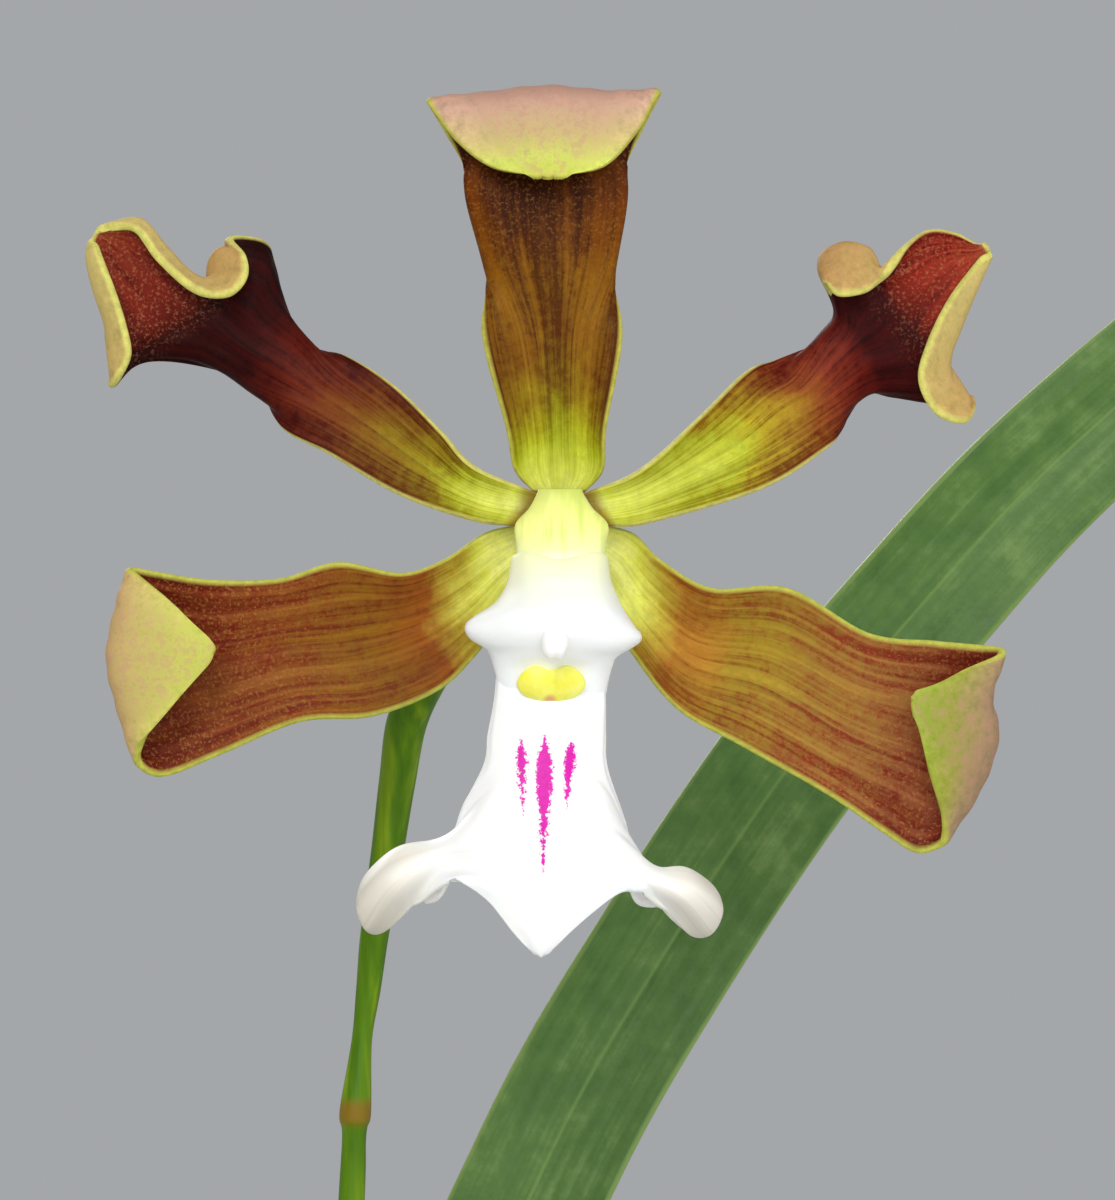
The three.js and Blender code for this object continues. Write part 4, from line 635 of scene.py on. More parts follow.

# %% [markdown]
# ## Lip
# The lip is the orchid's third petal, made over into a landing place. This one is white and thick.
# Two side lobes stand up round the column like a hood whose lower corners end in points. Below them
# lie a two-humped callus, lemon yellow, a narrow neck, and a wide front lobe whose corners roll back
# over their upper edge. Three ragged magenta stripes run down its middle. The stripes are painted by
# the distance from each stripe's own line in Object coordinates, with a noise that frays both their
# sides and their ends. Towards the rolled corners the white is greyed to a pale stone grey, greyest
# below the crease where each corner starts to roll: this grey is painted shade, where the corners
# turn down and away from the light.

# %% Nets of the lip
LIP_MIDDLE = [
    [[-1.9, -4.4, -32.7], [-1.8, -4.4, -32.7], [-1.7, -4.4, -32.8], [-1.5, -4.4, -32.9], [-1.4, -4.4, -33],
     [-1.3, -4.4, -32.9], [-1.1, -4.4, -32.8], [-1, -4.4, -32.7], [-0.9, -4.4, -32.7]],
    [[-3.4, -4.6, -31.1], [-3, -4.7, -31.1], [-2.7, -4.8, -31.1], [-2.1, -5, -31.2], [-1.4, -5, -31.3],
     [-0.6, -5, -31.1], [0.1, -4.8, -31], [0.5, -4.7, -30.9], [0.9, -4.6, -30.8]],
    [[-5.2, -4.8, -28.8], [-4.6, -5, -28.9], [-4, -5.2, -28.9], [-2.8, -5.4, -29.1], [-1.4, -5.5, -29.1],
     [0.2, -5.4, -29.1], [1.9, -5.2, -28.9], [2.6, -5, -28.9], [3.4, -4.8, -28.8]],
    [[-7, -4.4, -27.6], [-6.2, -4.8, -27.6], [-5.3, -5.2, -27.6], [-3.4, -5.6, -27.6], [-1.3, -5.8, -27.4],
     [0.9, -5.6, -27.6], [3.1, -5.2, -27.8], [3.9, -4.8, -28], [4.8, -4.4, -28.2]],
    [[-8.7, -3.2, -27.5], [-8, -3.7, -27.3], [-7.1, -4.2, -27], [-4.4, -5.4, -26.9], [-1.3, -5.9, -26.8],
     [2.2, -5.4, -27], [5.1, -4.2, -27.8], [5.7, -3.7, -28], [6.4, -3.2, -28.3]],
    [[-10.8, -2.4, -29.4], [-9.6, -3.1, -28.1], [-8.2, -4, -26.7], [-4.8, -5.4, -26.3], [-1.3, -6, -26.1],
     [2.4, -5.4, -26.4], [5.7, -4, -27.5], [6.8, -3.1, -28.5], [7.8, -2.4, -29.9]],
    [[-12.9, -1, -31.3], [-11, -2.8, -28.8], [-8.6, -3.9, -26.4], [-5.2, -5.4, -25.7], [-1.2, -6, -25.5],
     [2.9, -5.4, -25.9], [6, -3.9, -27.4], [7.9, -2.8, -29.1], [9.6, -1, -31.6]],
    [[-14.2, -1.2, -31.3], [-11.9, -3.9, -28], [-8.9, -3.9, -25.9], [-5.7, -5.4, -25.1], [-1.2, -6, -25],
     [3.2, -5.4, -25.4], [6.3, -3.9, -27.2], [8.9, -3.9, -28.7], [11.1, -1.2, -31.5]],
    [[-14.9, -2, -29.5], [-12.6, -3.6, -26.9], [-9.1, -3.7, -25.4], [-6, -5.4, -24.6], [-1.1, -6, -24.5],
     [3.4, -5.4, -24.9], [6.6, -3.7, -27], [9.6, -3.6, -27.8], [11.9, -2, -29.8]],
    [[-14.3, 0.4, -27.5], [-11.8, -1.2, -25.4], [-9, -2.6, -24.8], [-5.8, -5.2, -23.7], [-1, -6, -23.9],
     [3.4, -5.2, -24.2], [6.8, -2.6, -26.7], [9.1, -1.2, -26.9], [11.2, 0.4, -28.3]],
    [[-12, 2.4, -28], [-10.5, 1.4, -26.6], [-8.4, -1.6, -24.7], [-5.5, -5, -22.8], [-1, -6, -23.2],
     [3.1, -5, -23.4], [6.2, -1.6, -26.5], [7.7, 1.4, -28], [9.2, 2.4, -29]],
    [[-9.8, 1.6, -29.4], [-9.1, 1.2, -27.6], [-7.9, -1.2, -24.6], [-5.1, -5, -22], [-1, -5.9, -22.4],
     [2.9, -5, -22.5], [5.8, -1.2, -26], [6.4, 1.2, -28.3], [6.7, 1.6, -29.7]],
    [[-8.3, 0.8, -28.1], [-8, 0.2, -26.3], [-7.3, -1.6, -23.8], [-4.7, -5, -21.2], [-0.9, -5.8, -21.5],
     [2.7, -5, -21.6], [5.1, -1.6, -25], [5.3, 0.2, -27], [5.2, 0.8, -28.7]],
    [[-7.3, -0.8, -23.4], [-6.9, -1.9, -22.5], [-6.4, -3, -21.6], [-4, -5, -20.3], [-0.9, -5.6, -20.4],
     [2.3, -5, -20.5], [3.9, -3, -22.3], [4.4, -1.9, -23.4], [4.8, -0.8, -24.3]],
    [[-5.4, -2.8, -19.1], [-5.1, -3.4, -19.1], [-4.7, -4, -19.1], [-3.1, -5, -19.1], [-0.8, -5.3, -19],
     [1.4, -5, -19.2], [2.8, -4, -19.4], [3, -3.4, -19.4], [3.3, -2.8, -19.4]],
    [[-5.1, -2.6, -16.9], [-4.8, -3.1, -16.8], [-4.5, -3.6, -16.8], [-2.9, -4.6, -16.8], [-0.7, -4.8, -16.8],
     [1.4, -4.6, -16.8], [2.7, -3.6, -16.8], [2.9, -3.1, -16.8], [3.1, -2.6, -16.9]],
    [[-4.6, -2.4, -14.3], [-4.4, -2.8, -14.3], [-4.2, -3.2, -14.3], [-2.7, -4.2, -14.3], [-0.7, -4.4, -14.3],
     [1.4, -4.2, -14.3], [2.8, -3.2, -14.3], [2.9, -2.8, -14.3], [3.1, -2.4, -14.3]],
    [[-4.3, -2, -11.4], [-4.1, -2.4, -11.4], [-3.9, -2.8, -11.4], [-2.5, -3.4, -11.4], [-0.6, -3.6, -11.4],
     [1.3, -3.4, -11.4], [2.6, -2.8, -11.4], [2.8, -2.4, -11.4], [3.1, -2, -11.4]],
    [[-3.3, -0.2, -7], [-3.1, -0.3, -7], [-2.8, -0.4, -7], [-1.9, -0.6, -7], [-0.3, -0.7, -7],
     [1.2, -0.6, -7], [2, -0.4, -7], [2.3, -0.3, -7], [2.6, -0.2, -7]],
    [[-2.1, 1, -2.7], [-1.8, 0.9, -2.7], [-1.6, 0.9, -2.7], [-0.9, 0.8, -2.6], [-0.1, 0.8, -2.6],
     [0.7, 0.8, -2.6], [1.4, 0.9, -2.7], [1.6, 0.9, -2.7], [1.9, 1, -2.7]],
]
# The hood that both side lobes make in front of the column, from its top edge to the neck
LIP_HOOD = [
    [[-2.7, -1.2, -3.6], [-3.2, -2.6, -3.7], [-2.5, -3.7, -3.5], [-1.4, -4.3, -3.8], [0, -4.5, -4.1],
     [1.4, -4.3, -3.8], [2.5, -3.7, -3.5], [3.1, -2.6, -3.6], [2.7, -1.2, -3.6]],
    [[-2.7, -0.8, -5.3], [-3.4, -2.8, -5.3], [-2.6, -4.6, -5.3], [-1.4, -5.6, -5.4], [0, -5.8, -5.6],
     [1.4, -5.6, -5.4], [2.6, -4.6, -5.3], [3.3, -2.8, -5.3], [2.7, -0.8, -5.3]],
    [[-3, -0.6, -6.4], [-3.8, -2.8, -6.4], [-2.9, -5, -6.4], [-1.5, -6.1, -6.4], [0, -6.4, -6.5],
     [1.5, -6.1, -6.4], [2.9, -5, -6.4], [3.7, -2.8, -6.5], [2.9, -0.6, -6.4]],
    [[-3.3, -0.6, -7.5], [-4.6, -3, -7.5], [-3.4, -5.8, -7.4], [-1.6, -7, -7.4], [0, -7.3, -7.4],
     [1.6, -7, -7.4], [3.3, -5.8, -7.5], [4.3, -3, -7.8], [3.1, -0.6, -7.7]],
    [[-4.4, -0.8, -8.2], [-6.1, -3.6, -8.5], [-4.2, -6.2, -8.2], [-2, -7.5, -8.1], [-0.2, -7.8, -8],
     [1.7, -7.5, -8.2], [3.7, -6.2, -8.5], [5.2, -3.6, -9.2], [3.4, -0.8, -8.8]],
    [[-4.4, -0.8, -9.1], [-6.6, -3.8, -9], [-4.4, -6.2, -9.1], [-2.2, -7.5, -8.9], [-0.2, -7.8, -8.9],
     [1.7, -7.5, -9], [3.7, -6.2, -9.5], [5.6, -3.8, -9.7], [3.4, -0.8, -9.5]],
    [[-4.3, -0.8, -9.8], [-6.3, -3.6, -9.6], [-4.3, -5.8, -9.9], [-2.2, -7, -9.8], [-0.3, -7.2, -9.8],
     [1.7, -7, -9.9], [3.6, -5.8, -10.3], [5.2, -3.6, -10.1], [3.2, -0.8, -10.2]],
    [[-4.1, -0.8, -10.5], [-5.1, -3.2, -10.4], [-3.9, -5, -10.7], [-2.2, -6, -10.7], [-0.5, -6.2, -10.7],
     [1.4, -6, -10.8], [3, -5, -10.9], [3.9, -3.2, -10.9], [3.1, -0.8, -10.8]],
    [[-3.8, -0.8, -11.7], [-4.6, -2.8, -11.6], [-3.7, -4.2, -11.8], [-2.2, -4.9, -11.7], [-0.5, -5.1, -11.7],
     [1.3, -4.9, -11.7], [2.7, -4.2, -11.9], [3.5, -2.8, -11.7], [2.9, -0.8, -11.7]],
    [[-3.7, -1, -12.9], [-4.3, -2.6, -12.8], [-3.7, -3.7, -12.8], [-2.3, -4.3, -13], [-0.6, -4.5, -13],
     [1.3, -4.3, -13], [2.6, -3.7, -12.9], [3.2, -2.6, -12.8], [2.8, -1, -12.9]],
    [[-3.5, -1.4, -14], [-4.2, -2.2, -14], [-3.7, -3.1, -14], [-2.3, -3.9, -14.1], [-0.6, -4.1, -14.1],
     [1.3, -3.9, -14.1], [2.7, -3.1, -14], [3, -2.2, -14], [2.6, -1.4, -14]],
]
# Each stripe: x at its top and at its foot, z of both (mm from the bloom's centre), half width
STRIPES = [(-2.83, -2.72, -17.0, -23.0, 0.42), (-1.12, -1.25, -16.7, -27.0, 0.66),
           (0.8, 0.42, -17.1, -22.3, 0.46)]

# %% Stripes of the lip
lip_skin, tree, shader = finish("waxy_white_lip", 0.42, IOR=1.42, Subsurface_Weight=0.2,
                                Subsurface_Scale=0.001, Specular_IOR_Level=0.35)
place = node(tree, "TexCoord")
centred = node(tree, "Mapping", {"Vector": place.outputs["Object"], "Location": tuple(-BLOOM),
                                 "Scale": (1 / MM, 1 / MM, 1 / MM)})
spot = node(tree, "SeparateXYZ", [centred])
# centred is in mm, so a noise of scale 3.4 frays the stripes about every 0.3 mm
fray = node(tree, "TexNoise", {"Vector": centred, "Scale": 3.4, "Detail": 5.0, "Roughness": 0.75})
ragged = node(tree, "Math", (fray, 1.6, -0.8), operation="MULTIPLY_ADD")
painted = 0.0
for x_top, x_foot, top, foot, half in STRIPES:
    fallen = node(tree, "MapRange", (spot.outputs["Z"], top, foot))
    middle = node(tree, "Math", (fallen, x_foot - x_top, x_top), operation="MULTIPLY_ADD")
    beside = node(tree, "Math", (spot.outputs["X"], middle), operation="SUBTRACT")
    apart = node(tree, "Math", [beside], operation="ABSOLUTE")
    widening = node(tree, "MapRange", (fallen, 0.0, 0.2))
    narrowing = node(tree, "MapRange", (fallen, 1.0, 0.3))
    ends = node(tree, "Math", (widening, narrowing), operation="MULTIPLY")
    room = node(tree, "Math", (ends, half, ragged), operation="MULTIPLY_ADD")
    depth = node(tree, "Math", (room, apart), operation="SUBTRACT")
    inside = node(tree, "MapRange", (depth, 0.0, 0.1))
    not_past = node(tree, "MapRange", (ends, 0.0, 0.08))
    kept = node(tree, "Math", (inside, not_past), operation="MULTIPLY")
    painted = node(tree, "Math", (kept, painted), operation="MAXIMUM")
side = node(tree, "Attribute", attribute_name="side")
facing = node(tree, "MapRange", (side.outputs["Fac"], 0.5, 0.6))
ink = node(tree, "Math", (painted, facing), operation="MULTIPLY")
print(len(STRIPES), "stripes of", [2 * stripe[4] for stripe in STRIPES], "mm at most")

# %% Colours of the lip
uv = node(tree, "SeparateXYZ", [place.outputs["UV"]])
drawn = node(tree, "VectorMath", (place.outputs["UV"], (2.0, 90.0, 1.0)), operation="MULTIPLY")
veins = node(tree, "TexNoise", {"Vector": drawn, "Scale": 1.0, "Detail": 2.0})
# Painted shade: the white greys towards the front lobe's outer, low corners, where they roll down and away
# from the light. The faint veins there are the lip's own.
from_middle = node(tree, "Math", (spot.outputs["X"], 1.2), operation="ADD")
reach = node(tree, "Math", [from_middle], operation="ABSOLUTE")
outer = node(tree, "MapRange", (reach, 7.0, 13.5))
low_down = node(tree, "MapRange", (spot.outputs["Z"], -23.0, -25.0))
corner = node(tree, "Math", (outer, low_down), operation="MULTIPLY")
corner_shade = node(tree, "ValToRGB", [corner], [(0.0, "#FEFEFC"), (0.5, "#F2EDE2"), (1.0, "#D6D1C2")])
vein_line = node(tree, "MapRange", (veins, 0.5, 0.62, 0.0, 0.35))
vein_here = node(tree, "Math", (vein_line, corner), operation="MULTIPLY")
colour = node(tree, "Mix", {0: vein_here, 6: corner_shade, 7: linear("#C4BEA8")}, data_type="RGBA")
# Painted shade: a darker grey below the crease where each corner starts to roll
below_crease = node(tree, "MapRange", (uv.outputs["Y"], 0.378, 0.362, 0.0, 0.5))
crease_shade = node(tree, "Math", (below_crease, corner), operation="MULTIPLY")
colour = node(tree, "Mix", {0: crease_shade, 6: colour, 7: linear("#A8A290")}, data_type="RGBA")
upper = node(tree, "MapRange", (spot.outputs["Z"], -7.9, -3.8, 0.0, 0.7))
colour = node(tree, "Mix", {0: upper, 6: colour, 7: linear("#FAFAA8")}, data_type="RGBA")
magenta = node(tree, "ValToRGB", [fray], [(0.35, "#C80098"), (0.65, "#E000B4")])
colour = node(tree, "Mix", {0: ink, 6: colour, 7: magenta}, data_type="RGBA")
bump = node(tree, "Bump", {"Height": veins, "Strength": 0.15, "Distance": 0.0001})
feed(shader, Base_Color=colour, Normal=bump)
print("lip:", lip_skin.name, len(tree.nodes), "nodes")

# %% Skin of the callus
CALLUS_STAIN = BLOOM + [-0.75, -4.95, -14.25]
callus_skin, tree, shader = finish("waxy_lemon_callus", 0.4, IOR=1.42, Subsurface_Weight=0.2,
                                   Subsurface_Scale=0.001, Specular_IOR_Level=0.35)
place = node(tree, "TexCoord")
speck = node(tree, "TexNoise", {"Vector": place.outputs["Object"], "Scale": every(1.111), "Detail": 3.0})
lemon = node(tree, "ValToRGB", [speck], [(0.35, "#F4EE52"), (0.65, "#FBF67C")])
away = node(tree, "VectorMath", (place.outputs["Object"], tuple(CALLUS_STAIN * MM)), operation="DISTANCE")
stained = node(tree, "MapRange", (away.outputs["Value"], 0.6 * MM, 0.2 * MM, 0.0, 0.8))
colour = node(tree, "Mix", {0: stained, 6: lemon, 7: linear("#E2966A")}, data_type="RGBA")
feed(shader, Base_Color=colour)
print("callus:", callus_skin.name)

# %% Making the lip
def lip_part(name, net, rows, columns):
    """A smoothed net of the lip as a blade of one thickness."""
    along, across = steps(rows, 0.03), steps(columns, 0.05)
    grid = smooth_net(net, along, across)
    shape = blade(grid, along, across, FLESH, edges=(0.03, 0.05))
    shape["points"] = shape["points"] + BLOOM
    return piece(name, shape, lip_skin, "lip", "lip")


lip_part("lip_blade", LIP_MIDDLE, 190, 90)
lip_part("lip_hood", LIP_HOOD[::-1], 80, 70)

# %% Making the callus
# A kidney: an outline with a notch at its top, whose rings shrink and swell as a quarter circle,
# with a groove down the middle between its two humps
turn = np.arange(72) * 2 * math.pi / 72
shrink = np.concatenate([[1, 1], np.cos(np.linspace(0.1, 1.5, 14))])[:, None]
swell = np.concatenate([[-0.6, 0], np.sin(np.linspace(0.1, 1.5, 14))])[:, None]
notch = 1 - 0.34 * np.exp(-((turn - math.pi / 2) / 0.32) ** 2)
x = 2.5 * np.cos(turn) * shrink
z = np.where(turn < math.pi, 1.6, 1.25) * np.sin(turn) * notch * shrink
groove = 1 - 0.3 * np.exp(-(x / 0.45) ** 2)
callus = loft(np.stack([x - 0.65, -5.0 - 0.35 * z - 0.75 * swell * groove, z - 13.15], -1))
callus["points"] = callus["points"] + BLOOM
piece("callus", callus, callus_skin, "lip", "lip")

# %% [markdown]
# ## Column and anther
# In an orchid, stamen and pistil are one body, the column. It is a stout club, flat in front, pale
# yellow-green at its root and white at its tip, where a small cap covers the pollen. It is a loft
# of oval rings whose width and depth follow the CAD stations. A second, short stem behind it is the
# foot that the sepals and petals meet on. The cap is a ball, drawn in along its middle line.

# %% Stations of the column
# Each station: x, y and z of its middle, half width and half depth, mm from the bloom's centre
COLUMN = [
    [0, -1.9, 1.1, 1.6, 0.8], [0, -1.95, 0.7, 1.75, 1.0], [0.05, -2.1, -0.3, 2.35, 1.2],
    [0.1, -2.3, -1.5, 3.4, 1.4], [0.05, -2.6, -3.1, 3.25, 1.6], [0, -3, -4.6, 3.2, 1.8],
    [-0.1, -3.6, -6, 2.9, 1.9], [-0.2, -4.6, -8.2, 2.5, 1.9], [-0.4, -5.5, -9.8, 1.9, 1.5],
    [-0.5, -6, -10.8, 0.9, 0.8],
]
print("the column has", len(COLUMN), "stations")

# %% Skins of the column and the anther
column_skin, tree, shader = finish("waxy_column", 0.4, IOR=1.42, Subsurface_Weight=0.25,
                                   Subsurface_Scale=0.001, Specular_IOR_Level=0.3)
place = node(tree, "TexCoord")
height = node(tree, "SeparateXYZ", [place.outputs["Object"]])
down = node(tree, "MapRange", (height.outputs["Z"], 0.3462, 0.3400))
pale = node(tree, "ValToRGB", [down], [(0.0, "#D2DA74"), (0.2, "#E8EE84"), (0.5, "#F8FA98"),
                                       (0.72, "#F8FAB0"), (0.9, "#FCFCF2")])
drawn = node(tree, "Mapping", {"Vector": place.outputs["Object"],
                               "Scale": (every(0.667), every(3.333), every(6.25))})
streaks = node(tree, "TexNoise", {"Vector": drawn, "Scale": 1.0, "Detail": 3.0})
line = node(tree, "MapRange", (streaks, 0.5, 0.64, 0.0, 0.5))
near_root = node(tree, "MapRange", (down, 1.0, 0.6))
green = node(tree, "Math", (line, near_root), operation="MULTIPLY")
colour = node(tree, "Mix", {0: green, 6: pale, 7: linear("#C2D858")}, data_type="RGBA")
feed(shader, Base_Color=colour)
anther_skin, tree, shader = finish("waxy_anther", 0.35, IOR=1.42, Subsurface_Weight=0.2,
                                   Subsurface_Scale=0.001)
shader.inputs["Base Color"].default_value = linear("#FDFDF6")
print("column and anther:", column_skin.name, anther_skin.name)

# %% Making the column and the anther
def mound(centre, radii, turns=32, rises=20, dent=0.0):
    """A ball of rings from pole to pole, drawn in by the share dent along its middle line."""
    rise = np.linspace(0.06, math.pi - 0.06, rises)
    angle = np.arange(turns) * 2 * math.pi / turns
    around = np.stack([np.cos(angle), np.sin(angle), np.zeros(turns)], -1)
    rings = np.sin(rise)[:, None, None] * around * np.array(radii)
    rings[..., 2] = -np.cos(rise)[:, None] * radii[2]
    pinch = 1 - dent * np.exp(-((rings[..., 0] / radii[0]) ** 2) * 9)
    return loft(rings * pinch[..., None] + centre)


stations = smooth(COLUMN, np.linspace(0, 1, 64))
angle = np.arange(48) * 2 * math.pi / 48
from_front = np.abs(angle - math.pi / 2)
ridge = 1 + 0.1 * np.exp(-((from_front - 0.45) / 0.16) ** 2)
rings = np.stack([
    stations[:, :1] + stations[:, 3:4] * np.cos(angle),
    stations[:, 1:2] - stations[:, 4:5] * np.sin(angle) * ridge,
    np.repeat(stations[:, 2:3], 48, axis=1)], -1)
foot = stem(np.array([[0, y, -0.7] for y in (-1.4, 0.0, 1.3, 2.6)], float), [1.1] * 4, 24)
column = joined([loft(rings), foot])
column["points"] = column["points"] + BLOOM
piece("column", column, column_skin, "column", "column")
cap = mound((-0.4, -7.9, -10.1), (1.0, 0.85, 1.3), dent=0.2)
cap["points"] = cap["points"] + BLOOM
piece("anther_cap", cap, anther_skin, "anther", "anther_cap")

# %% [markdown]
# ## Flower stalk
# The bloom hangs on its own thin stalk, which swells into the ovary just behind it. That stalk
# leaves the main stalk at a joint with a rust-brown ring, the scar of a scale that dried up. All of
# it is one stem whose radius changes along a smooth path.

# %% Measures of the plant
# All in mm: the heights of the pot, of the bark and of the bulbs' feet, then each bulb's own measures
POT_HEIGHT, SOIL_TOP = 96.0, 82.0
BULB_SEAT = 85.3
BULBS = [
    {"foot": (4, 2), "height": 64, "radius": 13, "lean": (0, 1)},
    {"foot": (-10, 28), "height": 57, "radius": 12, "lean": (2, 1)},
    {"foot": (-30, 6), "height": 49, "radius": 11, "lean": (-3, 0)},
    {"foot": (27, -13), "height": 38, "radius": 9, "lean": (3, -3)},
]
# The bloom's own stalk, from its joint with the main stalk to the bloom, mm from the bloom's centre
PEDICEL = np.array([
    [-15.8, 20, -46.5], [-15.3, 20, -41], [-14.8, 20, -37.1], [-14.3, 19.5, -32.8], [-13.3, 19, -26.4],
    [-12.5, 18.5, -20.8], [-11.7, 17.5, -16.2], [-9.9, 15.5, -12.5], [-7.4, 12.8, -8.8],
    [-4.5, 10.4, -5.5], [-2, 7.6, -2.8], [-0.3, 4, -0.6],
])


def bulb_tip(bulb):
    """The middle of a bulb's top."""
    foot, lean = bulb["foot"], bulb["lean"]
    return np.array([foot[0] + lean[0], foot[1] + lean[1], BULB_SEAT + bulb["height"]])


print("tips of the pseudobulbs:", [bulb_tip(bulb).tolist() for bulb in BULBS])

# %% Skin of the stalk
stalk_skin, tree, shader = finish("green_stalk", 0.42, IOR=1.42, Subsurface_Weight=0.05,
                                  Subsurface_Scale=0.0006, Specular_IOR_Level=0.2)
place = node(tree, "TexCoord")
height = node(tree, "SeparateXYZ", [place.outputs["Object"]])
drawn = node(tree, "Mapping", {"Vector": place.outputs["Object"],
                               "Scale": (every(1.111), every(1.111), every(11.11))})
lines = node(tree, "TexNoise", {"Vector": drawn, "Scale": 1.0, "Detail": 3.0})
green = node(tree, "ValToRGB", [lines], [(0.3, "#3C6404"), (0.52, "#567C06"), (0.72, "#7C9814")])
ring_z = float(BLOOM[2] + PEDICEL[0][2])
from_ring = node(tree, "Math", (height.outputs["Z"], ring_z * MM), operation="SUBTRACT")
near_ring = node(tree, "Math", [from_ring], operation="ABSOLUTE")
rust = node(tree, "MapRange", (near_ring, 0.0013, 0.0005, 0.0, 0.8))
banded = node(tree, "Mix", {0: rust, 6: green, 7: linear("#86601A")}, data_type="RGBA")
feed(shader, Base_Color=banded)
bump = node(tree, "Bump", {"Height": lines, "Strength": 0.35, "Distance": 0.0001})
feed(shader, Normal=bump)
print("stalk:", stalk_skin.name)

# %% Making the flower stalk
# Rings along the whole stem, and points round each
STALK_RINGS, STALK_SIDES = 260, 28
foot = bulb_tip(BULBS[0])
joint = BLOOM + PEDICEL[0]
lower = [foot + [0, 0, 0.3], foot + [0.4, 0, 30], foot + [1.6, 0.6, 70], foot + [3, 1.2, 105],
         joint + [-0.4, 0, -9], joint + [-0.1, 0, -2]]
upper = list(PEDICEL + BLOOM)
radii = (list(np.linspace(1.4, 0.92, 6)) + [1.2]
         + [0.78 + 0.77 * min(1, k / 5) for k in range(len(upper) - 1)])
radii[-1] = 2.4
share = np.linspace(0, 1, STALK_RINGS)
route = smooth(np.column_stack([lower + upper, radii]), share)
turn = np.arange(STALK_SIDES) * 2 * math.pi / STALK_SIDES
ovary = np.clip((share - 0.72) / 0.15, 0, 1)[:, None]
ribs = 1 + (0.02 + 0.05 * ovary) * np.cos(6 * turn)[None, :]
stalk = stem(route[:, :3], route[:, 3:4] * ribs, STALK_SIDES)
piece("flower_stalk", stalk, stalk_skin, "stalk", "flower_stalk")

# %% [markdown]
# ## Papery scales
# Dry, straw-coloured scales wrap the feet of the pseudobulbs. They are thin and fibrous, torn along
# their upper edge. A scale is some 45 mm long round the bulb, so 70 fibres side by side lie about
# 0.6 mm apart. Dry tissue has lost its wax, so it is rough, 0.75.

# %% Papery scales
paper, tree, shader = finish("dry_papery_scale", 0.75, Subsurface_Weight=0.1, Subsurface_Scale=0.0008)
place = node(tree, "TexCoord")
stretched = node(tree, "VectorMath", (place.outputs["UV"], (70.0, 4.0, 1.0)), operation="MULTIPLY")
fibre = node(tree, "TexNoise", {"Vector": stretched, "Scale": 1.0, "Detail": 5.0, "Roughness": 0.65})
straw = node(tree, "ValToRGB", [fibre], [(0.3, "#8A7046"), (0.5, "#B9A272"), (0.7, "#D8C8A0")])
feed(shader, Base_Color=straw)
bump = node(tree, "Bump", {"Height": fibre, "Strength": 0.6, "Distance": 0.0003})
feed(shader, Normal=bump)
print("scales:", paper.name)

# %% [markdown]
# ## Pseudobulbs
# A pseudobulb is a swollen piece of stem that stores water. It is fattest low down and narrows to a
# neck that carries the leaves, and as it ages it shrinks into lengthwise furrows. The body is a loft
# whose rings follow the CAD outline, with furrows as a sum of cosines round each ring and a faint
# ring scar where each dried scale was. The skin is satin green, clouded with yellow over 4 mm wide
# and 22 mm long, with fine pale flecks 0.7 mm apart, and turns brown at its foot.

# %% Skin of the pseudobulbs
# Share of a bulb's height and of its radius
OUTLINE = [[0, 0.5], [0.05, 0.74], [0.14, 0.94], [0.28, 1], [0.45, 0.9],
           [0.62, 0.7], [0.78, 0.48], [0.9, 0.34], [0.97, 0.3], [1, 0.28]]

bulb_skin, tree, shader = finish("satin_pseudobulb", 0.42, IOR=1.42, Subsurface_Weight=0.08,
                                 Subsurface_Scale=0.001, Coat_Weight=0.12, Coat_Roughness=0.35)
place = node(tree, "TexCoord")
drawn = node(tree, "Mapping", {"Vector": place.outputs["Object"],
                               "Scale": (every(3.846), every(3.846), every(22.22))})
cloud = node(tree, "TexNoise", {"Vector": drawn, "Scale": 1.0, "Detail": 5.0, "Roughness": 0.6})
green = node(tree, "ValToRGB", [cloud], [(0.3, "#4F6E24"), (0.48, "#6F8A34"), (0.62, "#8C9C44"),
                                         (0.75, "#A8A85A")])
fleck = node(tree, "TexVoronoi", {"Vector": place.outputs["Object"], "Scale": every(0.7143)})
fleck_here = node(tree, "MapRange", (fleck.outputs["Distance"], 0.16, 0.08, 0.0, 0.45))
flecked = node(tree, "Mix", {0: fleck_here, 6: green, 7: linear("#C6C88A")}, data_type="RGBA")
uv = node(tree, "SeparateXYZ", [place.outputs["UV"]])
foot_dark = node(tree, "MapRange", (uv.outputs["Y"], 0.16, 0.02, 0.0, 0.75))
grounded = node(tree, "Mix", {0: foot_dark, 6: flecked, 7: linear("#6A5228")}, data_type="RGBA")
feed(shader, Base_Color=grounded)
bump = node(tree, "Bump", {"Height": cloud, "Strength": 0.4, "Distance": 0.0004})
feed(shader, Normal=bump)
print("pseudobulbs:", bulb_skin.name)

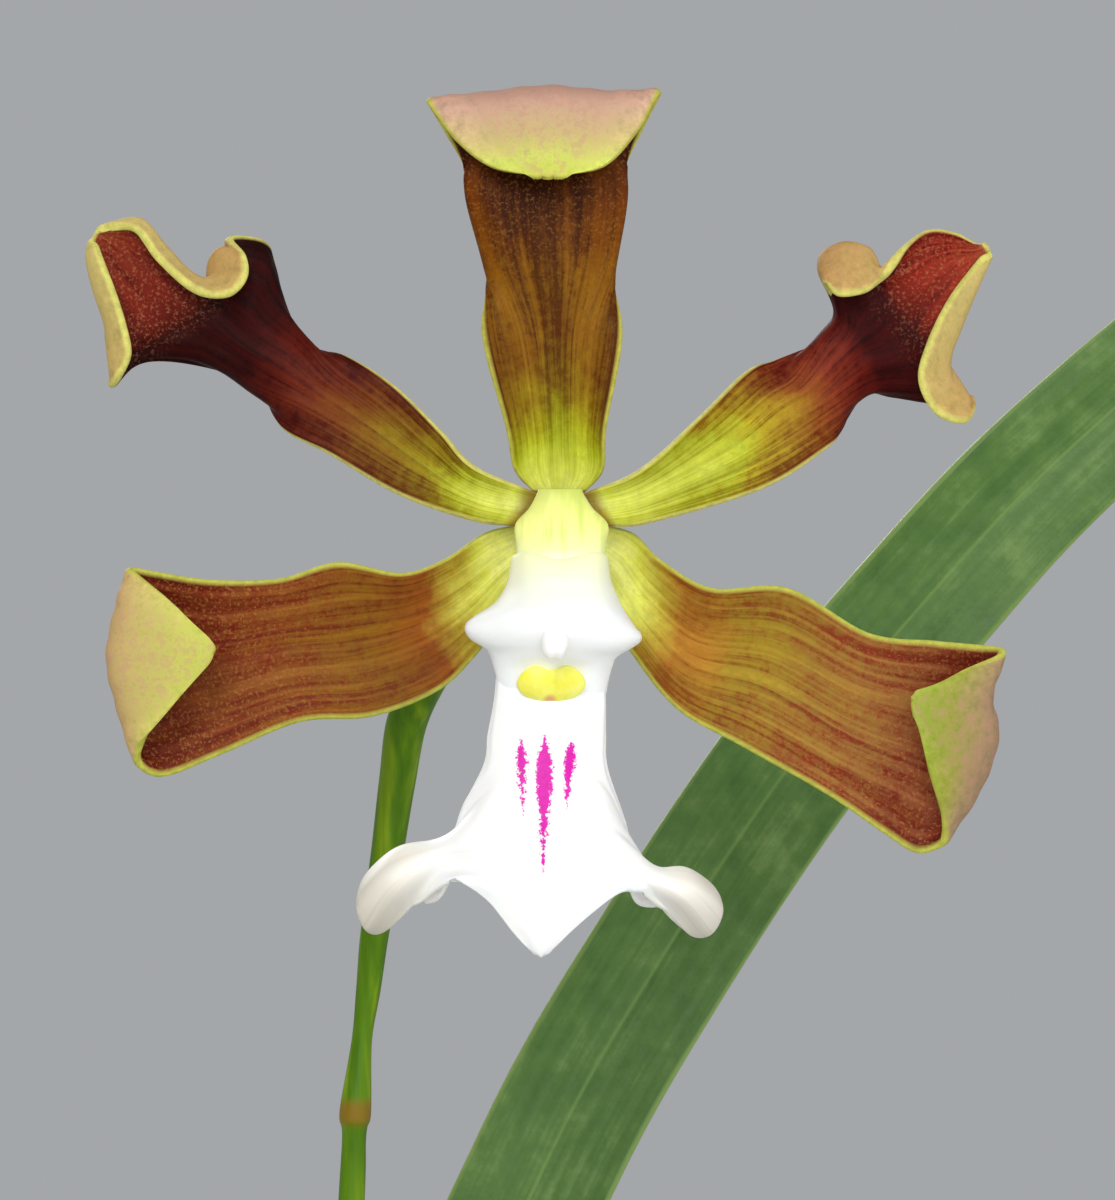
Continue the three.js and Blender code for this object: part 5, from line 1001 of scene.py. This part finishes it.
# %% Making the pseudobulbs
for k, bulb in enumerate(BULBS):
    outline = smooth(OUTLINE, np.linspace(0, 1, 90))
    share, width = outline[:, :1], outline[:, 1:]
    turn = np.arange(96) * 2 * math.pi / 96
    depth = 0.035 * np.sin(math.pi * np.clip(share, 0, 1))
    waves = np.cos(7 * turn + k) + 0.5 * np.cos(12 * turn + 2 * k) + 0.35 * np.cos(19 * turn + k)
    furrow = 1 + depth * waves[None, :]
    scar = sum(0.012 * np.exp(-((share - at) / 0.006) ** 2) for at in (0.2, 0.4, 0.62, 0.84))
    radius = bulb["radius"] * width * (furrow + scar)
    rings = np.stack([
        bulb["foot"][0] + bulb["lean"][0] * share ** 2 + radius * np.cos(turn),
        bulb["foot"][1] + bulb["lean"][1] * share ** 2 + radius * np.sin(turn),
        np.repeat(BULB_SEAT + share * bulb["height"], 96, axis=1)], -1)
    piece(f"pseudobulb_{k + 1}", loft(rings), bulb_skin, "pseudobulb", f"pseudobulb_{k + 1}")

# %% Scales round the pseudobulbs
def bulb_section(bulb, rise):
    """x and y of a bulb's middle and its radius, at a height above its seat."""
    share = np.clip(rise / bulb["height"], 0, 1)
    outline = np.array(OUTLINE)
    radius = np.interp(share, outline[:, 0], outline[:, 1]) * bulb["radius"]
    return *[bulb["foot"][k] + bulb["lean"][k] * share ** 2 for k in (0, 1)], radius


def scale_round(bulb, height, start, sweep, lift, seed):
    """A blade bent round a bulb: the angle runs across it and the height along it. It leans out by
    lift at its top. Sines cut its upper edge, which is highest in the middle."""
    along, across = steps(26, 0.04), steps(60, 0.02)
    angle = start + sweep * across
    top = 0.55 + 0.45 * np.sin(math.pi * across) ** 0.8
    top = top + 0.05 * np.sin(23 * across + 5 * seed) + 0.035 * np.sin(51 * across + 9 * seed)
    rise = along[:, None] * top[None, :] * height
    x, y, radius = bulb_section(bulb, rise)
    flare = lift * along[:, None] ** 2 * (0.6 + 0.4 * np.sin(9 * across + seed))[None, :]
    reach = radius * 1.05 + 0.5 + flare
    grid = np.stack([x + reach * np.cos(angle), y + reach * np.sin(angle), BULB_SEAT + 0.2 + rise], -1)
    return blade(grid, along, across, 0.5, edges=(0.04, 0.02))


scales = []
for k, bulb in enumerate(BULBS):
    for start, sweep, tall, lift in ((0.4 + k, 3.4, 0.42, 0.5), (3.3 + k, 3.0, 0.3, 0.9)):
        scales.append(scale_round(bulb, tall * bulb["height"], start, sweep, lift, k + start))
piece("papery_scales", joined(scales), paper, "pseudobulb")

# %% [markdown]
# ## Strap leaves
# Each leaf is leathery and keeled: folded at its foot, then open in a shallow channel with a groove
# along its midrib. Fine veins run along it, the margins wave a little, and its tip narrows to a
# blunt point. The spine bends down more the further it gets from its bulb, under its own weight. The
# section across is |v| x width x sin(fold), which makes the channel. The upper face is dark green
# and mottled, and the lower face is paler. Both catch a sheen from their wax.

# %% Leaf skin
# A leaf is 12.6 mm wide, so 22 fibres side by side are 0.6 mm apart, coarse enough to show
leaf_skin, tree, shader = finish("leathery_leaf", 0.4, IOR=1.42, Subsurface_Weight=0.05,
                                 Subsurface_Scale=0.0006, Specular_IOR_Level=0.35)
place = node(tree, "TexCoord")
uv = node(tree, "SeparateXYZ", [place.outputs["UV"]])
side = node(tree, "Attribute", attribute_name="side")
stretched = node(tree, "VectorMath", (place.outputs["UV"], (22.0, 9.0, 1.0)), operation="MULTIPLY")
fibre = node(tree, "TexNoise", {"Vector": stretched, "Scale": 1.0, "Detail": 5.0, "Roughness": 0.6})
cloud = node(tree, "TexNoise", {"Vector": place.outputs["Object"], "Scale": every(4.762), "Detail": 6.0,
                                "Roughness": 0.66})
blend = node(tree, "Math", (fibre, 0.3), operation="MULTIPLY")
blend = node(tree, "Math", (cloud, 0.75, blend), operation="MULTIPLY_ADD")
upper = node(tree, "ValToRGB", [blend], [(0.36, "#14380C"), (0.48, "#244B14"), (0.58, "#325E1E"),
                                         (0.7, "#4A7234")])
lower_face = node(tree, "ValToRGB", [blend], [(0.36, "#3C6026"), (0.55, "#507232"), (0.72, "#708C4E")])
faces = node(tree, "MapRange", (side.outputs["Fac"], 0.45, 0.55))
both = node(tree, "Mix", {0: faces, 6: lower_face, 7: upper}, data_type="RGBA")
off_middle = node(tree, "Math", (uv.outputs["X"], 0.5), operation="SUBTRACT")
spread = node(tree, "Math", [off_middle], operation="ABSOLUTE")
edge = node(tree, "MapRange", (spread, 0.47, 0.495, 0.0, 0.7))
edged = node(tree, "Mix", {0: edge, 6: both, 7: linear("#8FAA5C")}, data_type="RGBA")
rib = node(tree, "MapRange", (spread, 0.022, 0.004, 0.0, 0.35))
ribbed = node(tree, "Mix", {0: rib, 6: edged, 7: linear("#7E9C50")}, data_type="RGBA")
base = node(tree, "MapRange", (uv.outputs["Y"], 0.09, 0.0, 0.0, 0.8))
based = node(tree, "Mix", {0: base, 6: ribbed, 7: linear("#A3B060")}, data_type="RGBA")
feed(shader, Base_Color=based)
gloss = node(tree, "MapRange", (cloud, 0.35, 0.7, 0.34, 0.52))
feed(shader, Roughness=gloss)
bump = node(tree, "Bump", {"Height": blend, "Strength": 0.5, "Distance": 0.0003})
feed(shader, Normal=bump)
print("leaf skin:", leaf_skin.name)

# %% Leaf shapes
# The CAD leaves have as many rows, so their spines and waves are the same
CAD_ROWS = 22


def strap_leaf(spine, facing, half, rows=150, columns=30):
    """Width is half x a foot that widens over the first fifth x a tip that closes as 1 - t^7."""
    along_spine = steps(rows, 0.012)
    across = steps(columns, 0.03)
    points = smooth(spine, along_spine)
    _, out, up = directions(points, facing)
    t = along_spine[:, None]
    v = (across * 2 - 1)[None, :]
    width = half * (0.36 + 0.64 * np.minimum(1, t / 0.22) ** 0.8) * np.sqrt(np.maximum(0.006, 1 - t ** 7))
    fold = 0.5 + (0.16 - 0.5) * np.minimum(1, t / 0.2)
    channel = (np.sqrt(v ** 2 + 0.006) - 0.077) * width * np.sin(fold)
    wave = 0.35 * v ** 2 * np.sin(t * (CAD_ROWS - 1) * 1.3 + 2 * v)
    veins = 0.05 * np.cos(v * 24) * (1 - t ** 4)
    grid = (points[:, None] - (v * width * np.cos(fold))[..., None] * up[:, None]
            + (channel + wave)[..., None] * out[:, None])
    return blade(grid, along_spine, across, 1.0, edges=(0.012, 0.03), relief=veins)


def arched_spine(bulb, heading, length, start, end):
    """Steps of equal length, each pitched between start and end degrees by its share ^ 1.3."""
    turn = math.radians(heading)
    out = np.array([math.cos(turn), math.sin(turn), 0])
    share = (np.arange(1, CAD_ROWS) - 0.5) / (CAD_ROWS - 1)
    pitch = np.radians(start + (end - start) * share ** 1.3)[:, None]
    step = (np.cos(pitch) * out + np.sin(pitch) * [0, 0, 1]) * length / (CAD_ROWS - 1)
    first = bulb_tip(BULBS[bulb]) + 3.3 * out + [0, 0, 0.6]
    return np.concatenate([[first], first + np.cumsum(step, axis=0)])


# %% Making the leaves
TALL_LEAF = np.array([
    [-5.2, 29.6, 0], [-3.8, 33, 34], [2.5, 40, 80], [12.8, 44, 121], [23.9, 45, 147.7], [33.7, 45.5, 165],
    [45.1, 45.5, 182], [56.3, 45, 195.5], [67, 44.5, 206.9], [83, 43, 220.5], [99, 40.5, 230],
    [113, 38, 234]])
# Each arched leaf: its bulb, heading, length, half width, and pitch at its foot and at its tip
ARCHED_LEAVES = [
    (1, 97, 180, 6.4, 84, -38), (0, 250, 185, 6.8, 84, -58), (0, 5, 170, 6.6, 84, -48),
    (2, 232, 140, 6.2, 84, -44), (2, 128, 150, 5.8, 88, -16), (3, -72, 105, 5, 80, -5)]

tall = TALL_LEAF + [0, 0, bulb_tip(BULBS[1])[2] + 0.6]
piece("leaf_1", strap_leaf(tall, (0, -1, 0), 6.3, 220), leaf_skin, "leaf", "leaf_1")
for k, (bulb, heading, length, half, start, end) in enumerate(ARCHED_LEAVES):
    turn = math.radians(heading)
    spine = arched_spine(bulb, heading, length, start, end)
    leaf = strap_leaf(spine, (-math.cos(turn), -math.sin(turn), 0.2), half)
    piece(f"leaf_{k + 2}", leaf, leaf_skin, "leaf", f"leaf_{k + 2}")

# %% [markdown]
# ## Rhizome and roots
# The rhizome is the creeping stem that joins the pseudobulbs. It lies on the bark, thick as a
# pencil, ringed by the scars of old scales. Roots leave it to both sides, run over the chips and
# dive between them. They wear a coat of dead white cells, so they look like pale string, rough and
# dull. The rhizome swells as a cosine along its path, and each scar is a short step in its radius.

# %% Skin of the rhizome and roots
root_skin, tree, shader = finish("corky_rhizome_and_velamen", 0.8)
place = node(tree, "TexCoord")
root = node(tree, "Attribute", attribute_name="root")
grain = node(tree, "TexNoise", {"Vector": place.outputs["Object"], "Scale": every(1.4286),
                                "Detail": 5.0, "Roughness": 0.65})
cork = node(tree, "ValToRGB", [grain], [(0.3, "#5A4A2A"), (0.5, "#85784A"), (0.7, "#A89C66")])
velamen = node(tree, "ValToRGB", [grain], [(0.3, "#9C9780"), (0.5, "#C9C6B2"), (0.7, "#E2E0D0")])
coat = node(tree, "Mix", {0: root.outputs["Fac"], 6: cork, 7: velamen}, data_type="RGBA")
feed(shader, Base_Color=coat)
bump = node(tree, "Bump", {"Height": grain, "Strength": 0.6, "Distance": 0.0004})
feed(shader, Normal=bump)
print("rhizome and roots:", root_skin.name)

# %% Making the rhizome and the roots
# How many roots there are, and how far from the pot's middle they may reach, in mm
ROOTS, ROOT_ROOM = 26, 41.0
RHIZOME_HEIGHT = SOIL_TOP + 1.2
RINGS = 20
feet = [BULBS[k]["foot"] for k in (2, 1, 0, 3)]
creep = [(feet[0][0] - 8, feet[0][1] - 6), *feet, (feet[3][0] + 8, feet[3][1] - 4)]


def creeping(places):
    """The rhizome's path: smoothed through the feet of the bulbs, with a slight rise and fall."""
    flat = smooth(creep, places)
    return np.column_stack([flat, RHIZOME_HEIGHT + 0.4 * np.sin(np.asarray(places) * RINGS * 1.3)])


places = np.linspace(0, 1, 200)
body = 3.1 * (1 + 0.1 * np.cos(places * RINGS * 2.1)) * np.minimum.reduce(
    [np.ones(200), 0.55 + places * 5, 0.55 + (1 - places) * 5])
body = body + 0.22 * (np.mod(places * 34, 1) < 0.22)
rhizome = stem(creeping(places), body, 28)
rhizome["root"] = np.zeros(len(rhizome["points"]))
strands = [rhizome]
draw = np.random.default_rng(11)
for k in range(ROOTS):
    start = creeping([0.1 + 0.8 * k / (ROOTS - 1)])[0]
    heading = math.atan2(start[1], start[0]) + draw.uniform(-1.2, 1.2) + (0.5 if k % 2 else -0.5)
    reach = min(draw.uniform(14, 30), ROOT_ROOM - math.hypot(start[0], start[1]))
    t = np.linspace(0, 1, 50)
    turn = heading + draw.uniform(-0.6, 0.6) * t + 0.12 * np.sin(t * draw.uniform(8, 14))
    lift = 2.6 * np.sin(math.pi * np.minimum(1, t * 1.2)) - 7.5 * np.maximum(0, t - 0.6) / 0.4
    path = np.column_stack([start[0] + reach * t * np.cos(turn), start[1] + reach * t * np.sin(turn),
                            SOIL_TOP + 1.4 + lift])
    thick = draw.uniform(0.85, 1.25) * np.interp(t, [0, 1], [1.15, 0.8]) * (1 + 0.05 * np.sin(t * 60 + k))
    strand = stem(path, thick, 12)
    strand["root"] = np.ones(len(strand["points"]))
    strands.append(strand)
piece("rhizome_and_roots", joined(strands), root_skin, "rhizome", "rhizome_and_roots")

# %% [markdown]
# ## Bark medium
# Epiphytic orchids are potted in coarse fir bark: chunky chips, brown outside and tan where they
# broke, that lie flat more often than on edge. One chip is a low stone-like loft of eight sides. Some
# six hundred copies are made at once: the same points times a size, turned by three random angles,
# and moved to places that spiral out from the middle. A seeded source keeps them the same each run.

# %% Bark skin
bark_skin, tree, shader = finish("fir_bark", 0.88)
place = node(tree, "TexCoord")
tone = node(tree, "Attribute", attribute_name="tone")
uv_fibre = node(tree, "VectorMath", (place.outputs["UV"], (0.35, 2.6, 1.0)), operation="MULTIPLY")
layer = node(tree, "CombineXYZ", {"Z": tone.outputs["Fac"]})
apart = node(tree, "VectorMath", (layer, (0.0, 0.0, 60.0), uv_fibre), operation="MULTIPLY_ADD")
fibre = node(tree, "TexNoise", {"Vector": apart, "Scale": 1.0, "Detail": 6.0, "Roughness": 0.65})
grit = node(tree, "TexNoise", {"Vector": place.outputs["Object"], "Scale": every(1.111), "Detail": 5.0,
                               "Roughness": 0.7})
dark = node(tree, "ValToRGB", [fibre], [(0.3, "#2E1C12"), (0.5, "#553422"), (0.7, "#7C5236")])
light = node(tree, "ValToRGB", [fibre], [(0.3, "#5C3A24"), (0.5, "#8C6240"), (0.7, "#B08A62")])
choice = node(tree, "MapRange", (tone.outputs["Fac"], 0.1, 0.95))
woody = node(tree, "Mix", {0: choice, 6: dark, 7: light}, data_type="RGBA")
feed(shader, Base_Color=woody)
rough = node(tree, "Math", (fibre, 1.5, grit), operation="MULTIPLY_ADD")
bump = node(tree, "Bump", {"Height": rough, "Strength": 0.8, "Distance": 0.0007})
feed(shader, Normal=bump)
print("bark:", bark_skin.name)

# %% Shape of a bark chip
turn = np.arange(8) * 2 * math.pi / 8
level = np.array([[0.72, -1.0], [1.0, -0.45], [1.0, 0.45], [0.74, 1.0]])
squared = np.maximum(np.abs(np.cos(turn)), np.abs(np.sin(turn)))[:, None] ** -0.6
ring = np.stack([np.cos(turn), np.sin(turn)], -1) * squared
heights = np.broadcast_to(level[:, 1:, None], (4, 8, 1))
model = loft(np.concatenate([level[:, :1, None] * ring[None], heights], -1))
corners = len(model["points"])
print("a chip has", corners, "points")

# %% Sizes and places of the chips
# How many, half length, width and height (mm, least and most), and how far they tip from flat
CHIPS = 620
HALF_SIZES = ((3.4, 7.6), (2.2, 4.4), (1.0, 2.1))
UNEVEN = 0.34
GOLDEN_ANGLE = 2.39996
draw = np.random.default_rng(5)
order = np.arange(CHIPS)
# Radius of the room that the pot's wall leaves at the top of the bark
room = 44.3
reach = (room - 5) * np.sqrt((order + 0.5) / CHIPS)
angle = order * GOLDEN_ANGLE + draw.uniform(-0.5, 0.5, CHIPS)
half_size = np.stack([draw.uniform(least, most, CHIPS) for least, most in HALF_SIZES], -1)
shrink = np.clip((room - reach) / np.maximum(half_size[:, 0], 1), 0.55, 1)
half_size[:, :2] *= shrink[:, None]
chips = model["points"][None] * draw.uniform(0.72, 1.12, (CHIPS, corners, 3)) * half_size[:, None]
spin = draw.uniform(0, 2 * math.pi, CHIPS)
tilt = draw.normal(0, UNEVEN, CHIPS)
roll = draw.normal(0, UNEVEN, CHIPS)
print("chips are", np.round(2 * half_size.mean(axis=0), 1).tolist(), "mm on average")

# %% Making the bark medium
def turned(points, angle, a, b):
    """Rotation in the plane of axes a and b: (a cos - b sin, a sin + b cos)."""
    c, s = np.cos(angle)[:, None], np.sin(angle)[:, None]
    out = points.copy()
    out[..., a] = points[..., a] * c - points[..., b] * s
    out[..., b] = points[..., a] * s + points[..., b] * c
    return out


lying = turned(turned(turned(chips, roll, 1, 2), tilt, 0, 2), spin, 0, 1)
centre = np.stack([reach * np.cos(angle), reach * np.sin(angle),
                   SOIL_TOP - 1.6 + draw.uniform(0, 3.4, CHIPS)], -1)
lying = lying + centre[:, None]
offset = (np.arange(CHIPS) * corners)[:, None, None]
bark = {
    "points": lying.reshape(-1, 3),
    "faces": [(block[None] + offset).reshape(-1, block.shape[1]) for block in model["faces"]],
    "uv": (chips[..., :2] + draw.uniform(0, 400, (CHIPS, 1, 2))).reshape(-1, 2),
    "tone": np.repeat(draw.uniform(0, 1, CHIPS), corners),
}
# Radius and height of the bed's rings; the pot's wall leaves less room lower down
bed_rings = np.array([[44.0, 8.0], [44.6, 30.0], [45.0, 60.0], [45.2, 78.6], [40.0, 79.6], [20.0, 80.2],
                      [3.0, 80.4]])
turn = np.arange(64) * 2 * math.pi / 64
radius = np.minimum(bed_rings[:, :1], 32.2 + 15.0 * bed_rings[:, 1:] / POT_HEIGHT)
height = np.repeat(bed_rings[:, 1:], 64, axis=1)
bed = loft(np.stack([radius * np.cos(turn), radius * np.sin(turn), height], -1))
bed["uv"] = bed["points"][:, :2]
bed["tone"] = np.zeros(len(bed["points"]))
piece("bark_medium", joined([bark, bed]), bark_skin, "bark", "bark_medium")

# %% [markdown]
# ## Clay pot
# A thrown and turned clay pot: a cone with a thick rim band, four drain holes, and the marks of use.
# Hard water leaves a pale bloom of salts towards the foot and under the rim, and the clay keeps
# faint turning rings, 2 mm apart, and pits. Fired clay is porous and has no glaze, so it is rough,
# 0.85. The body is the CAD profile with rounded corners, turned in 160 steps.

# %% Terracotta
clay, tree, shader = finish("fired_terracotta", 0.85)
place = node(tree, "TexCoord")
height = node(tree, "SeparateXYZ", [place.outputs["Object"]])
cloud = node(tree, "TexNoise", {"Vector": place.outputs["Object"], "Scale": every(26.32),
                                "Detail": 7.0, "Roughness": 0.62})
grit = node(tree, "TexNoise", {"Vector": place.outputs["Object"], "Scale": every(0.7692),
                               "Detail": 4.0, "Roughness": 0.7})
fired = node(tree, "ValToRGB", [cloud], [(0.32, "#A4552F"), (0.5, "#B8683F"), (0.68, "#C77C52")])
foot_salt = node(tree, "MapRange", (height.outputs["Z"], 0.03, 0.0, 0.0, 0.5))
rim_salt = node(tree, "MapRange", (height.outputs["Z"], 0.066, 0.08, 0.0, 0.28))
salt = node(tree, "Math", (foot_salt, rim_salt), operation="MAXIMUM")
patch = node(tree, "MapRange", (cloud, 0.44, 0.62))
salt_here = node(tree, "Math", (salt, patch), operation="MULTIPLY")
bloomed = node(tree, "Mix", {0: salt_here, 6: fired, 7: linear("#D9C6B4")}, data_type="RGBA")
speck = node(tree, "MapRange", (grit, 0.6, 0.75, 0.0, 0.35))
specked = node(tree, "Mix", {0: speck, 6: bloomed, 7: linear("#8A4526")}, data_type="RGBA")
feed(shader, Base_Color=specked)
turning = node(tree, "Mapping", {"Vector": place.outputs["Object"],
                                 "Scale": (every(166.7), every(166.7), every(1.923))})
rings_noise = node(tree, "TexNoise", {"Vector": turning, "Scale": 1.0, "Detail": 3.0})
relief = node(tree, "Math", (rings_noise, 0.9, grit), operation="MULTIPLY_ADD")
bump = node(tree, "Bump", {"Height": relief, "Strength": 0.5, "Distance": 0.0004})
feed(shader, Normal=bump)
print("pot:", clay.name)

# %% Profile of the pot
BASE, RIM, BAND, STEP, WALL, FLOOR = 37.0, 55.0, 17.0, 3.0, 4.5, 6.0


def outside(z):
    """Radius of the outer wall at a height."""
    return BASE + (RIM - STEP - BASE) * z / POT_HEIGHT


def inside(z):
    """Radius of the inner wall at a height."""
    return outside(z) - WALL


band_foot = POT_HEIGHT - BAND
profile = np.array([
    [0.6, 0], [18, 0], [BASE - 1.5, 0], [BASE - 0.4, 0.4], [BASE, 1.5],
    [outside(12), 12], [outside(40), 40],
    [outside(band_foot - 1.5), band_foot - 1.5], [outside(band_foot) + 0.6, band_foot],
    [RIM - 1.6, band_foot + 0.1], [RIM - 0.6, band_foot + 0.6], [RIM - 0.3, band_foot + 1.6],
    [RIM, POT_HEIGHT - 2.5], [RIM - 0.4, POT_HEIGHT - 1], [RIM - 1.5, POT_HEIGHT],
    [inside(POT_HEIGHT) + 1.3, POT_HEIGHT], [inside(POT_HEIGHT) + 0.3, POT_HEIGHT - 0.5],
    [inside(POT_HEIGHT), POT_HEIGHT - 1.6], [inside(50), 50], [inside(FLOOR + 1), FLOOR + 1],
    [inside(FLOOR) - 1, FLOOR], [18, FLOOR], [0.6, FLOOR]])
fine = np.repeat(np.arange(len(profile) - 1), 4) + np.tile([0, 0.25, 0.5, 0.75], len(profile) - 1)
fine = np.append(fine, len(profile) - 1)
line = np.stack([np.interp(fine, np.arange(len(profile)), profile[:, k]) for k in (0, 1)], -1)
print("the wall's profile has", len(line), "points")

# %% Making the pot
turn = np.arange(160) * 2 * math.pi / 160
wobble = 1 + 0.002 * np.sin(2 * turn + 0.4) + 0.0015 * np.sin(5 * turn)
pot_rings = np.stack([line[:, :1] * np.cos(turn) * wobble, line[:, :1] * np.sin(turn) * wobble,
                      np.repeat(line[:, 1:], 160, axis=1)], -1)
pot = piece("pot", loft(pot_rings), clay, "clay", "pot")

# %% Drain holes
HOLES, HOLE_RADIUS, HOLE_REACH = 4, 4.5, 21
for k in range(HOLES):
    angle = 2 * math.pi * (k + 0.5) / HOLES
    centre = np.array([HOLE_REACH * math.cos(angle), HOLE_REACH * math.sin(angle)])
    plug = stem(np.array([[*centre, z] for z in (-4.0, 0.0, 5.0, 10.0)]), [HOLE_RADIUS] * 4, 32)
    cutter = bpy.data.objects.new(f"drain_{k}", mesh_of(f"drain_{k}", plug))
    bpy.context.collection.objects.link(cutter)
    hole = pot.modifiers.new("drain", "BOOLEAN")
    hole.object = cutter
    hole.operation = "DIFFERENCE"
    hole.solver = "EXACT"
    cut = bpy.data.meshes.new_from_object(pot.evaluated_get(bpy.context.evaluated_depsgraph_get()))
    pot.modifiers.clear()
    pot.data = cut
    bpy.data.objects.remove(cutter)
print("pot after its drain holes:", len(pot.data.polygons), "faces")

# %% [markdown]
# ## Floor
# The floor is a plain pale disc, large enough for the views that stand back from the plant.

# %% Floor
FLOOR_RADIUS = 2.5
pale, tree, shader = finish("pale_studio_floor", 0.7)
shader.inputs["Base Color"].default_value = linear("#D9DADA")
turn = np.arange(96) * 2 * math.pi / 96
disc = bpy.data.meshes.new("floor")
rim = np.stack([FLOOR_RADIUS * np.cos(turn), FLOOR_RADIUS * np.sin(turn), np.full(96, -0.0003)], -1)
disc.from_pydata(rim.tolist(), [], [list(range(96))])
disc.materials.append(pale)
floor = bpy.data.objects.new("floor", disc)
bpy.context.collection.objects.link(floor)
print("floor:", 2 * FLOOR_RADIUS, "m across")
